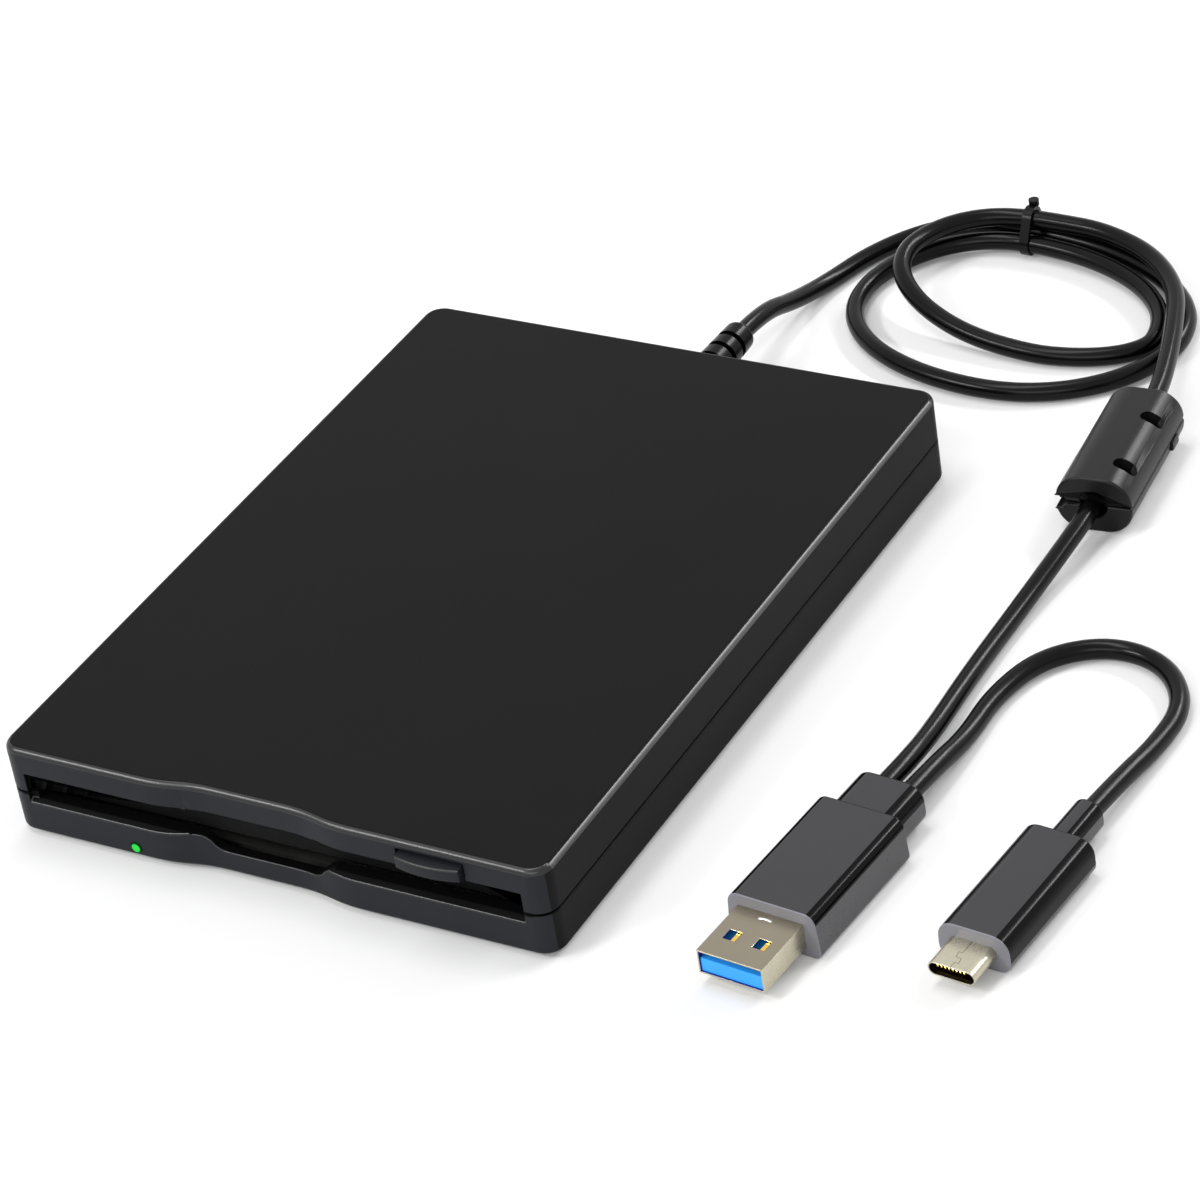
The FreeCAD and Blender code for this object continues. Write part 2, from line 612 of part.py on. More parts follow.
def eject_slide():
    """U-shaped plate over the disk holder, with two slotted skirts that lift the holder."""
    plate = block(-SLIDE_HALF_WIDTH, SLIDE_HALF_WIDTH, SLIDE_FRONT, SLIDE_REAR, SLIDE_LOW, SLIDE_TOP)
    inner = SLIDE_HALF_WIDTH - SLIDE_STRIP
    window = block(-inner, inner, SLIDE_FRONT + SLIDE_FRONT_BAR, SLIDE_REAR + 1, SLIDE_LOW - 1, SLIDE_TOP + 1)
    shape = plate.cut(window)
    parts = [shape, tongue(FRONT + BUTTON_BACK - 1.5, 0.0)]
    for side in (-1, 1):
        x0, x1 = sorted((side * (SLIDE_HALF_WIDTH - THIN_SHEET), side * SLIDE_HALF_WIDTH))
        parts.append(block(x0, x1, SLIDE_FRONT + 2, SLIDE_REAR, SLIDE_SKIRT_LOW, SLIDE_LOW + 0.1))
    shape = fuse(parts)
    tools = []
    for y in LIFT_PIN_PLACES:
        rest = (y, LIFT_PIN_HEIGHT)
        out = (y + EJECT_TRAVEL, LIFT_PIN_HEIGHT - HOLDER_DROP)
        tools.append(pin_slot(rest, out, LIFT_PIN_RADIUS + SLOT_CLEARANCE, SLIDE_HALF_WIDTH + 1))
    for side in (-1, 1):
        x = side * (SLIDE_HALF_WIDTH - SPRING_INSET)
        tools.append(block(x - SPRING_RADIUS - 0.3, x + SPRING_RADIUS + 0.3, SPRING_FRONT,
                           SPRING_FRONT + SPRING_LENGTH + EJECT_TRAVEL + 1.2, SLIDE_LOW - 1, SLIDE_TOP + 1))
    return shape.cut(Part.makeCompound(tools))


def pin_slot(start, end, radius, half_width):
    """Slot along X through both sides: two round ends joined by a straight run, in the YZ plane."""
    along = V(0, end[0] - start[0], end[1] - start[1])
    across = unit(V(0, -along.z, along.y)) * radius
    low = V(-half_width, start[0], start[1])
    high = low + along
    bar = prism([tuple(low - across), tuple(low + across), tuple(high + across), tuple(high - across)],
                V(2 * half_width, 0, 0))
    ends = [rod(tuple(p), X_AXIS, radius, 2 * half_width) for p in (low, high)]
    return bar.fuse(ends[0]).fuse(ends[1])


def eject_springs():
    springs = []
    for side in (-1, 1):
        x = side * (SLIDE_HALF_WIDTH - SPRING_INSET)
        middle = (SLIDE_LOW + SLIDE_TOP) / 2
        springs.append(ring((x, SPRING_FRONT, middle), Y_AXIS, SPRING_RADIUS, SPRING_BORE, SPRING_LENGTH))
    return springs


def disk_holder():
    """Tray of thin sheet round the disk: a roof, two sides and two rails under the disk's edges."""
    w = HOLDER_HALF_WIDTH
    outer = block(-w, w, HOLDER_FRONT, HOLDER_REAR, HOLDER_RAIL_LOW, HOLDER_ROOF_TOP)
    inside = block(-w + THIN_SHEET, w - THIN_SHEET, HOLDER_FRONT - 1, HOLDER_REAR + 1, HOLDER_RAIL_TOP,
                   HOLDER_ROOF_LOW)
    below = block(-w + HOLDER_RAIL_WIDTH, w - HOLDER_RAIL_WIDTH, HOLDER_FRONT - 1, HOLDER_REAR + 1,
                  HOLDER_RAIL_LOW - 1, HOLDER_RAIL_TOP + 0.1)
    head_window = block(-HEAD_WINDOW_HALF_WIDTH, HEAD_WINDOW_HALF_WIDTH, HEAD_WINDOW_FRONT, HOLDER_REAR + 1,
                        HOLDER_ROOF_LOW - 0.1, HOLDER_ROOF_TOP + 1)
    shape = outer.cut(inside).cut(below).cut(head_window).cut(lever_slot())
    pins = []
    for y in LIFT_PIN_PLACES:
        for side in (-1, 1):
            start = side * (w - 0.2)
            reach = CHASSIS_HALF_WIDTH - 0.3 - abs(start)
            pins.append(rod((start, y, LIFT_PIN_HEIGHT), X_AXIS * side, LIFT_PIN_RADIUS, reach))
    return fuse([shape] + pins)


def lever_slot():
    """Curved slot in the roof of the disk holder for the lever's pin, with the rivet hole."""
    x, y = LEVER_PIVOT
    reach = LEVER_PIN_RADIUS + 0.3
    tools = []
    band = ring((x, y, HOLDER_ROOF_LOW - 0.1), Z_AXIS, LEVER_ARM + reach, LEVER_ARM - reach, THIN_SHEET + 0.2)
    first = math.radians(LEVER_REST_DEG)
    last = math.radians(LEVER_REST_DEG + LEVER_SWING_DEG)
    far = 3 * LEVER_ARM
    middle = (first + last) / 2
    corners = [(x, y), (x + far * math.cos(first), y + far * math.sin(first)),
               (x + far * math.cos(middle), y + far * math.sin(middle)),
               (x + far * math.cos(last), y + far * math.sin(last))]
    wedge = prism([(cx, cy, HOLDER_ROOF_LOW - 0.1) for cx, cy in corners], V(0, 0, THIN_SHEET + 0.2))
    tools.append(band.common(wedge))
    for angle in (first, last):
        tools.append(rod((x + LEVER_ARM * math.cos(angle), y + LEVER_ARM * math.sin(angle),
                          HOLDER_ROOF_LOW - 0.1), Z_AXIS, reach, THIN_SHEET + 0.2))
    return fuse(tools)


def shutter_lever():
    """Flat arm that turns on a rivet and pushes the disk's shutter open with its pin."""
    x, y = LEVER_PIVOT
    low = HOLDER_ROOF_TOP + 0.05
    angle = math.radians(LEVER_REST_DEG)
    tip = (x + LEVER_ARM * math.cos(angle), y + LEVER_ARM * math.sin(angle))
    side = V(-math.sin(angle), math.cos(angle), 0) * 1.6
    bar = prism([(x - side.x, y - side.y, low), (tip[0] - side.x, tip[1] - side.y, low),
                 (tip[0] + side.x, tip[1] + side.y, low), (x + side.x, y + side.y, low)], V(0, 0, LEVER_SHEET))
    hub = rod((x, y, low), Z_AXIS, LEVER_HUB_RADIUS, LEVER_SHEET)
    end = rod((tip[0], tip[1], low), Z_AXIS, 1.6, LEVER_SHEET)
    pin = rod((tip[0], tip[1], LEVER_PIN_LOW), Z_AXIS, LEVER_PIN_RADIUS, low - LEVER_PIN_LOW + LEVER_SHEET)
    shape = fuse([bar, hub, end, pin])
    return shape.cut(rod((x, y, low - 1), Z_AXIS, RIVET_RADIUS + RUNNING_CLEARANCE, LEVER_SHEET + 2))


def lever_rivet():
    x, y = LEVER_PIVOT
    low = HOLDER_ROOF_TOP
    top = low + 0.05 + LEVER_SHEET + 0.05
    shank = rod((x, y, low), Z_AXIS, RIVET_RADIUS, top - low)
    return shank.fuse(rod((x, y, top), Z_AXIS, RIVET_RADIUS + 0.8, 0.2))


def dust_flap():
    """Thin flap on two pins that closes the throat and swings inwards in front of a disk."""
    w = THROAT_HALF_WIDTH - 0.4
    y0 = FLAP_Y - FLAP_THICKNESS / 2
    y1 = FLAP_Y + FLAP_THICKNESS / 2
    plate = block(-w, w, y0, y1, FLAP_LOW, FLAP_PIVOT_HEIGHT)
    reach = THROAT_HALF_WIDTH + FLAP_LUG_GAP + FLAP_LUG
    barrel = rod((-w, FLAP_Y, FLAP_PIVOT_HEIGHT), X_AXIS, FLAP_THICKNESS / 2, 2 * w)
    pins = rod((-reach, FLAP_Y, FLAP_PIVOT_HEIGHT), X_AXIS, FLAP_PIN_RADIUS, 2 * reach)
    return fuse([plate, barrel, pins])


def led_lens():
    """Green light pipe: a round front in the wall and a foot that reaches the lamp's board."""
    front = rod((LED_X, FRONT - LED_PROUD, LED_HEIGHT), Y_AXIS, LED_RADIUS, FRONT_WALL + LED_PROUD)
    back = block(LED_X - LED_RADIUS, LED_X + LED_RADIUS, FRONT_INSIDE, FRONT - LED_PROUD + LED_PIPE_LENGTH,
                 LED_HEIGHT - LED_RADIUS + 0.1, LED_HEIGHT + LED_RADIUS)
    return front.fuse(back).removeSplitter()


def led_board():
    """Small upright board with the lamp itself on its front."""
    lens_end = FRONT - LED_PROUD + LED_PIPE_LENGTH
    lamp = block(LED_X - 0.8, LED_X + 0.8, lens_end, lens_end + 0.6, FLOOR_TOP + 0.1, LED_HEIGHT + 0.8)
    y0 = lens_end + 0.6
    board = block(LED_X - LED_BOARD_WIDTH / 2, LED_X + LED_BOARD_WIDTH / 2, y0, y0 + LED_BOARD_THICKNESS,
                  FLOOR_TOP, FLOOR_TOP + LED_BOARD_HEIGHT)
    return board.fuse(lamp).removeSplitter()


def strain_relief():
    """Moulded tail: a flange inside the wall, a neck in the hole and a ribbed tapering tail outside."""
    start = HALF_DEPTH
    centre = (RELIEF_X, start, RELIEF_HEIGHT)
    tail = Part.makeCone(RELIEF_BASE_RADIUS, RELIEF_TIP_RADIUS, RELIEF_LENGTH, V(*centre), Y_AXIS)
    end_edges = [e for e in tail.Edges if abs(e.BoundBox.YMin - start - RELIEF_LENGTH) < 1e-6
                 and abs(e.BoundBox.YMax - start - RELIEF_LENGTH) < 1e-6]
    tail = tail.makeFillet(1.0, end_edges)
    pitch = (RELIEF_LENGTH - 4) / RELIEF_RINGS
    for i in range(RELIEF_RINGS):
        y = start + 2.6 + i * pitch
        radius = RELIEF_BASE_RADIUS - RELIEF_GROOVE_DEPTH - (RELIEF_BASE_RADIUS - RELIEF_TIP_RADIUS) * (
            y - start) / RELIEF_LENGTH
        tail = tail.cut(ring((RELIEF_X, y, RELIEF_HEIGHT), Y_AXIS, RELIEF_BASE_RADIUS + 1, radius,
                             RELIEF_GROOVE_WIDTH))
    neck = rod((RELIEF_X, REAR_INSIDE - 0.1, RELIEF_HEIGHT), Y_AXIS, RELIEF_NECK, WALL + 0.2)
    flange = rod((RELIEF_X, REAR_INSIDE - RELIEF_FLANGE_LENGTH, RELIEF_HEIGHT), Y_AXIS, RELIEF_FLANGE,
                 RELIEF_FLANGE_LENGTH)
    return fuse([tail, neck, flange])


def drive_chassis():
    w = CHASSIS_HALF_WIDTH
    plate = block(-w, w, CHASSIS_FRONT, CHASSIS_REAR, CHASSIS_LOW, CHASSIS_TOP)
    parts = [plate]
    for side in (-1, 1):
        x0, x1 = sorted((side * (w - CHASSIS_SHEET), side * w))
        parts.append(block(x0, x1, CHASSIS_FRONT, CHASSIS_REAR, CHASSIS_LOW, SHIELD_HEIGHT))
    for x, y in tab_places():
        parts.append(block(x - TAB_LENGTH / 2, x + TAB_LENGTH / 2, y - 2.5, y + 2.5, SHIELD_HEIGHT - CHASSIS_SHEET,
                           SHIELD_HEIGHT))
    shape = fuse(parts)
    tools = []
    for y in LIFT_PIN_PLACES:
        tools.append(pin_slot((y, LIFT_PIN_HEIGHT), (y, LIFT_PIN_HEIGHT - HOLDER_DROP),
                              LIFT_PIN_RADIUS + SLOT_CLEARANCE, w + 1))
    for x, y in drive_screw_places():
        tools.append(rod((x, y, CHASSIS_LOW - 1), Z_AXIS, DRIVE_SCREW_RADIUS + SCREW_CLEARANCE, CHASSIS_SHEET + 2))
    for x, y in tab_places():
        tools.append(rod((x, y, SHIELD_HEIGHT - 2), Z_AXIS, DRIVE_SCREW_RADIUS + SCREW_CLEARANCE, 3))
    half = LED_BOARD_WIDTH / 2 + 0.5
    lens_end = FRONT - LED_PROUD + LED_PIPE_LENGTH
    tools.append(block(LED_X - half, LED_X + half, CHASSIS_FRONT - 1, lens_end + 2.0, CHASSIS_LOW - 1,
                       CHASSIS_TOP + 1))
    tools.append(rod((0, SPINDLE_Y, CHASSIS_LOW - 1), Z_AXIS, SHAFT_RADIUS + 1.0, CHASSIS_SHEET + 2))
    return cut(shape, tools)


def top_shield():
    """Thin sheet over the mechanism, with a bent tab behind each eject spring."""
    plate = block(-CHASSIS_HALF_WIDTH, CHASSIS_HALF_WIDTH, CHASSIS_FRONT + 1, CHASSIS_REAR, SHIELD_HEIGHT,
                  SHIELD_HEIGHT + SHIELD_SHEET)
    parts = [plate]
    for side in (-1, 1):
        x = side * (SLIDE_HALF_WIDTH - SPRING_INSET)
        y = SPRING_FRONT + SPRING_LENGTH
        parts.append(block(x - SPRING_RADIUS, x + SPRING_RADIUS, y, y + THIN_SHEET, SLIDE_LOW - 0.5,
                           SHIELD_HEIGHT + 0.1))
    shape = fuse(parts)
    tools = [rod((x, y, SHIELD_HEIGHT - 1), Z_AXIS, DRIVE_SCREW_RADIUS + SCREW_CLEARANCE, 3)
             for x, y in tab_places()]
    return cut(shape, tools)


def spindle_bearing():
    low = CHASSIS_TOP
    flange = rod((0, SPINDLE_Y, low), Z_AXIS, BEARING_RADIUS, BEARING_TOP - low)
    return flange.cut(rod((0, SPINDLE_Y, low + 0.3), Z_AXIS, SHAFT_RADIUS + RUNNING_CLEARANCE, BEARING_TOP))


def spindle_shaft():
    low = CHASSIS_TOP + 0.35
    return rod((0, SPINDLE_Y, low), Z_AXIS, SHAFT_RADIUS, SHAFT_TOP - low)


def rotor_plate():
    shape = rod((0, SPINDLE_Y, ROTOR_LOW), Z_AXIS, ROTOR_RADIUS, ROTOR_SHEET)
    return shape.cut(rod((0, SPINDLE_Y, ROTOR_LOW - 1), Z_AXIS, SHAFT_RADIUS, ROTOR_SHEET + 2))


def rotor_magnet():
    return ring((0, SPINDLE_Y, ROTOR_LOW - MAGNET_THICKNESS), Z_AXIS, ROTOR_RADIUS - 0.5, MAGNET_BORE,
                MAGNET_THICKNESS)


def hub_plate():
    low = ROTOR_LOW + ROTOR_SHEET
    disc = rod((0, SPINDLE_Y, low), Z_AXIS, HUB_RADIUS, HUB_THICKNESS)
    pin = rod((DRIVE_PIN_PLACE, SPINDLE_Y, low), Z_AXIS, DRIVE_PIN_RADIUS, SHAFT_TOP - 0.2 - low)
    return disc.fuse(pin).cut(rod((0, SPINDLE_Y, low - 1), Z_AXIS, SHAFT_RADIUS, HUB_THICKNESS + 2))


def motor_board():
    board = block(-MOTOR_BOARD_HALF_WIDTH, MOTOR_BOARD_HALF_WIDTH, MOTOR_BOARD_FRONT, MOTOR_BOARD_REAR,
                  CHASSIS_TOP, BOARD_TOP)
    rod_room = block(ROD_X - ROD_RADIUS - 2.5, MOTOR_BOARD_HALF_WIDTH + 1, ROD_FRONT - 0.5, MOTOR_BOARD_REAR + 1,
                     CHASSIS_TOP - 1, BOARD_TOP + 1)
    hole = rod((0, SPINDLE_Y, CHASSIS_TOP - 1), Z_AXIS, BEARING_RADIUS + 0.1, BOARD_THICKNESS + 2)
    return board.cut(rod_room).cut(hole)


def stator_coils():
    coils = []
    for i in range(COIL_COUNT):
        angle = 2 * math.pi * i / COIL_COUNT
        centre = (COIL_PLACE * math.cos(angle), SPINDLE_Y + COIL_PLACE * math.sin(angle), BOARD_TOP)
        coils.append(ring(centre, Z_AXIS, COIL_RADIUS, COIL_RADIUS / 2, COIL_THICKNESS))
    return coils


def stepper_motor():
    body = rod((SCREW_X, STEPPER_FRONT, SCREW_HEIGHT), Y_AXIS, STEPPER_RADIUS, STEPPER_REAR - STEPPER_FRONT)
    foot = block(SCREW_X - 3, SCREW_X + 3, STEPPER_FRONT, STEPPER_REAR, CHASSIS_TOP, SCREW_HEIGHT - 3)
    bore = rod((SCREW_X, STEPPER_FRONT - 1, SCREW_HEIGHT), Y_AXIS, SCREW_RADIUS + RUNNING_CLEARANCE, 7.0)
    return body.fuse(foot).removeSplitter().cut(bore)


def lead_screw():
    """Shaft with a thread groove, shown as a plain rod with a smaller front journal."""
    journal = rod((SCREW_X, SCREW_FRONT, SCREW_HEIGHT), Y_AXIS, SCREW_RADIUS - 0.4, 1.2)
    main = rod((SCREW_X, SCREW_FRONT + 1.0, SCREW_HEIGHT), Y_AXIS, SCREW_RADIUS,
               STEPPER_FRONT + 5.5 - SCREW_FRONT - 1.0)
    return journal.fuse(main).removeSplitter()


def screw_bracket():
    plate = block(SCREW_X - 3, SCREW_X + 3, SCREW_FRONT, SCREW_FRONT + 0.8, CHASSIS_TOP, SCREW_HEIGHT + 2)
    foot = block(SCREW_X - 3, SCREW_X + 3, SCREW_FRONT, SCREW_FRONT + 4, CHASSIS_TOP, CHASSIS_TOP + 0.6)
    bore = rod((SCREW_X, SCREW_FRONT - 1, SCREW_HEIGHT), Y_AXIS, SCREW_RADIUS - 0.4 + RUNNING_CLEARANCE, 3)
    return plate.fuse(foot).removeSplitter().cut(bore)


def head_carriage():
    """Moulded base on the guide rod, with a post for the upper arm and a finger in the thread."""
    right = ROD_X + ROD_RADIUS + 1.2
    base = block(-CARRIAGE_HALF_WIDTH, right, CARRIAGE_FRONT, CARRIAGE_REAR, CARRIAGE_LOW, CARRIAGE_HIGH)
    post_low = ARM_PIVOT_Y - POST_LENGTH / 2
    post_high = ARM_PIVOT_Y + POST_LENGTH / 2
    ear = ARM_HALF_WIDTH + 0.3
    parts = [base]
    for side in (-1, 1):
        x0, x1 = sorted((side * ear, side * (ear + 1.5)))
        parts.append(block(x0, x1, post_low, post_high, CARRIAGE_HIGH - 0.1, ARM_PIVOT_HEIGHT + 1.2))
    parts.append(block(-CARRIAGE_HALF_WIDTH, -CARRIAGE_HALF_WIDTH + 2, FOLLOWER_PLACE - 1.5, FOLLOWER_PLACE + 1.5,
                       CARRIAGE_HIGH - 0.1, SCREW_HEIGHT + 1))
    reach = SCREW_X + SCREW_RADIUS + 0.1
    parts.append(block(reach, -CARRIAGE_HALF_WIDTH + 1, FOLLOWER_PLACE - FOLLOWER_THICKNESS / 2,
                       FOLLOWER_PLACE + FOLLOWER_THICKNESS / 2, SCREW_HEIGHT - 1, SCREW_HEIGHT + 1))
    parts.append(block(-2.0, 2.0, HEAD_Y - 2.5, HEAD_Y + 2.5, CARRIAGE_HIGH - 0.1, LOWER_HEAD_TOP - 0.6))
    shape = fuse(parts)
    bore = rod((ROD_X, CARRIAGE_FRONT - 1, ROD_HEIGHT), Y_AXIS, ROD_RADIUS + RUNNING_CLEARANCE,
               CARRIAGE_REAR - CARRIAGE_FRONT + 2)
    pin_hole = rod((-ear - 3, ARM_PIVOT_Y, ARM_PIVOT_HEIGHT), X_AXIS, ARM_PIN_RADIUS, 2 * (ear + 3))
    return cut(shape, [bore, pin_hole])


def guide_rod():
    return rod((ROD_X, ROD_FRONT, ROD_HEIGHT), Y_AXIS, ROD_RADIUS, ROD_REAR - ROD_FRONT)


def rod_clamps():
    clamps = []
    for y in (ROD_FRONT, ROD_REAR - ROD_CLAMP_LENGTH):
        body = block(ROD_X - 2, ROD_X + 2, y, y + ROD_CLAMP_LENGTH, CHASSIS_TOP, ROD_HEIGHT + 1.2)
        clamps.append(body.cut(rod((ROD_X, y - 1, ROD_HEIGHT), Y_AXIS, ROD_RADIUS, ROD_CLAMP_LENGTH + 2)))
    return clamps


def head_block(low, high):
    return block(-HEAD_WIDTH / 2, HEAD_WIDTH / 2, HEAD_Y - HEAD_LENGTH / 2, HEAD_Y + HEAD_LENGTH / 2, low, high)


def upper_arm():
    low = UPPER_HEAD_LOW + 0.5
    plate = block(-ARM_HALF_WIDTH, ARM_HALF_WIDTH, HEAD_Y - 3, ARM_PIVOT_Y, low, low + ARM_THICKNESS)
    barrel = rod((-ARM_HALF_WIDTH, ARM_PIVOT_Y, ARM_PIVOT_HEIGHT), X_AXIS, ARM_PIN_RADIUS + 0.6,
                 2 * ARM_HALF_WIDTH)
    bore = rod((-ARM_HALF_WIDTH - 1, ARM_PIVOT_Y, ARM_PIVOT_HEIGHT), X_AXIS, ARM_PIN_RADIUS + RUNNING_CLEARANCE,
               2 * ARM_HALF_WIDTH + 2)
    return plate.fuse(barrel).removeSplitter().cut(bore)


def arm_pin():
    reach = ARM_HALF_WIDTH + 1.8
    return rod((-reach, ARM_PIVOT_Y, ARM_PIVOT_HEIGHT), X_AXIS, ARM_PIN_RADIUS, 2 * reach)


def logic_board():
    x0, x1, y0, y1 = LOGIC_BOARD
    board = block(x0, x1, y0, y1, CHASSIS_TOP, BOARD_TOP)
    holes = [rod((x, y, CHASSIS_TOP - 1), Z_AXIS, SCREW_HEAD_RADIUS, 3) for x, y in drive_screw_places() if y > y0]
    return cut(board, holes)


def main_board():
    return block(-MAIN_BOARD_HALF_WIDTH, MAIN_BOARD_HALF_WIDTH, MAIN_BOARD_FRONT, MAIN_BOARD_REAR, MAIN_BOARD_LOW,
                 MAIN_BOARD_LOW + 2 * BOARD_THICKNESS)


def circuit_chips():
    top = MAIN_BOARD_LOW + 2 * BOARD_THICKNESS
    y = (MAIN_BOARD_FRONT + MAIN_BOARD_REAR) / 2
    chips = [block(x - s / 2, x + s / 2, y - s / 2, y + s / 2, top, top + CHIP_THICKNESS)
             for x, s in ((-12.0, 7.0), (-24.0, 4.0), (14.0, 5.0), (24.0, 4.0))]
    x0, x1, y0, y1 = LOGIC_BOARD
    chips += [block(x0 + 2, x0 + 8, yy, yy + 6, BOARD_TOP, BOARD_TOP + CHIP_THICKNESS) for yy in (16.0, 26.0)]
    return chips


def cable_header():
    top = MAIN_BOARD_LOW + 2 * BOARD_THICKNESS
    return block(RELIEF_X - 3.5, RELIEF_X + 3.5, MAIN_BOARD_FRONT + 1, MAIN_BOARD_FRONT + 4.5, top, top + 2.4)


def cable_wires():
    """Four cores from the inner end of the strain relief to the header on the board."""
    wires = []
    start_y = REAR_INSIDE - RELIEF_FLANGE_LENGTH
    end_y = MAIN_BOARD_FRONT + 4.5
    for i in range(4):
        x = RELIEF_X + (i - 1.5) * 1.4
        wires.append(rod((x, end_y, RELIEF_HEIGHT - 1.6), Y_AXIS, 0.4, start_y - end_y))
    return wires


def ribbon_cable():
    x0 = LOGIC_BOARD[0] + 1
    x1 = x0 + RIBBON_WIDTH
    y0 = LOGIC_BOARD[3] - 3
    top = MAIN_BOARD_LOW + 2 * BOARD_THICKNESS
    run = block(x0, x1, y0, MAIN_BOARD_FRONT + 2, top, top + 0.3)
    plug_front = block(x0, x1, y0, y0 + 2, BOARD_TOP, top)
    return run.fuse(plug_front).removeSplitter()


def disk_switches():
    bodies = []
    for x, y in SWITCH_PLACES.values():
        body = block(x - SWITCH_SIZE / 2, x + SWITCH_SIZE / 2, y - 2, y + 2, CHASSIS_TOP, SWITCH_TOP)
        hole = rod((x, y, PLUNGER_LOW - PLUNGER_TRAVEL - 0.2), Z_AXIS, PLUNGER_RADIUS + RUNNING_CLEARANCE, 4)
        bodies.append(body.cut(hole))
    return bodies


def switch_pin(place):
    return rod((place[0], place[1], PLUNGER_LOW), Z_AXIS, PLUNGER_RADIUS, PLUNGER_TOP - PLUNGER_LOW)


# Route of the cord's free stretches: points chosen by hand, in millimetres
RELIEF_END = (RELIEF_X, HALF_DEPTH + RELIEF_LENGTH, RELIEF_HEIGHT)
LEAD_POINTS = [RELIEF_END, (1.5, 99.0, 8.4), (1.8, 109.5, 4.2), (3.0, 120.5, FLOOR_LINE),
               (6.2, 132.0, FLOOR_LINE), (12.5, 142.4, FLOOR_LINE), (22.0, 147.6, TIED_LINE),
               (30.0, 147.6, TIED_LINE)]
COIL_END = (40.0, 145.6, TOP_LINE)
RUN_POINTS = [COIL_END, (49.5, 145.3, 6.3), (61.0, 140.6, 6.1), (70.4, 130.6, 6.1), (75.2, 118.0, 6.1),
              (78.6, 106.6, 5.8), (80.67, 97.2, 5.4), (82.28, 80.2, 5.4), (84.0, 62.0, 5.4),
              (83.4, 50.5, 4.0), (82.2, 34.0, 1.9), (82.2, 16.0, FLOOR_LINE), (83.4, -1.0, 2.5), (84.03, -10.7, 3.9)]
PIGTAIL_POINTS = [(88.6, -11.0, 3.7), (89.0, 0.0, FLOOR_LINE), (88.4, 12.0, FLOOR_LINE),
                  (91.6, 24.0, FLOOR_LINE), (101.0, 30.6, FLOOR_LINE), (112.0, 28.6, FLOOR_LINE),
                  (119.2, 19.0, FLOOR_LINE), (119.0, 7.5, FLOOR_LINE), (117.7, -3.6, 2.9)]

# Outer points of the coil's turns: back, right, front and left of each turn, with their heights
COIL_BACK = ((33.5, 147.6, TIED_LINE), (33.5, 143.5, TIED_LINE), (33.4, 145.6, TOP_LINE))
COIL_RIGHT = ((75.6, 121.0, FLOOR_LINE), (70.8, 119.5, FLOOR_LINE))
COIL_FRONT = ((47.0, 95.2, FLOOR_LINE), (50.0, 108.8, FLOOR_LINE))
COIL_LEFT = ((10.4, 120.0, FLOOR_LINE), (16.4, 127.5, 7.0))


def plug_frame(rear):
    """Placement of a plug: its own -Y runs from the neck's rear face to the metal tip."""
    return FreeCAD.Placement(V(rear[0], rear[1], 0), FreeCAD.Rotation(Z_AXIS, PLUG_YAW_DEG))


def plug_point(rear, x, y, z):
    p = plug_frame(rear).multVec(V(x, y, z))
    return (p.x, p.y, p.z)


def rounded_path(points, name):
    """Straight runs joined by tangent arcs, each as large as its two runs allow."""
    pts = [V(*p) for p in points]
    edges = []
    radii = []
    last = pts[0]
    for i in range(1, len(pts) - 1):
        before = unit(pts[i - 1] - pts[i])
        after = unit(pts[i + 1] - pts[i])
        run = min((pts[i - 1] - pts[i]).Length, (pts[i + 1] - pts[i]).Length)
        half_turn = (math.pi - before.getAngle(after)) / 2
        reach = 0.45 * run
        radius = reach / math.tan(half_turn)
        radii.append(radius)
        start = pts[i] + before * reach
        end = pts[i] + after * reach
        bisector = unit(before + after)
        middle = pts[i] + bisector * (radius / math.cos(half_turn) - radius)
        edges.append(Part.LineSegment(last, start).toShape())
        edges.append(Part.Arc(start, middle, end).toShape())
        last = end
    edges.append(Part.LineSegment(last, pts[-1]).toShape())
    print(name, "least radius %.1f mm, length %.1f mm" % (min(radii), sum(e.Length for e in edges)))
    return Part.Wire(edges)


def tube(path, name, default_mode=False):
    radius = CORD_DIAMETER / 2
    first = path.Edges[0]
    start = first.valueAt(first.FirstParameter)
    heading = first.tangentAt(first.FirstParameter)
    circle = Part.Wire(Part.makeCircle(radius, start, heading))
    if default_mode:
        shell = Part.BRepOffsetAPI.MakePipeShell(path)
        shell.add(circle)
        shell.build()
        shell.makeSolid()
        solid = shell.shape()
    else:
        solid = path.makePipeShell([circle], True, False)
    expected = math.pi * radius * radius * path.Length
    print(name, "volume / section x length = %.4f" % (solid.Volume / expected), solid.isValid())
    return solid


def biarc(p0, t0, p1, t1):
    """Two arcs that leave p0 along t0 and reach p1 along t1."""
    v = p1 - p0
    t = t0 + t1
    a = 2 * (1 - t0.dot(t1))
    b = 2 * v.dot(t)
    c = -v.dot(v)
    d = (-b + math.sqrt(b * b - 4 * a * c)) / (2 * a)
    joint = (p0 + t0 * d + p1 - t1 * d) * 0.5

    def middle(start, control, end):
        chord = (start + end) * 0.5
        rise = control - chord
        half = (end - start).Length / 2
        leg = (control - start).Length
        turn = math.acos(min(1.0, half / leg))
        return chord + unit(rise) * (half * math.tan(turn / 2))

    first = middle(p0, p0 + t0 * d, joint)
    second = middle(joint, p1 - t1 * d, p1)
    return [Part.Arc(p0, first, joint).toShape(), Part.Arc(joint, second, p1).toShape()]


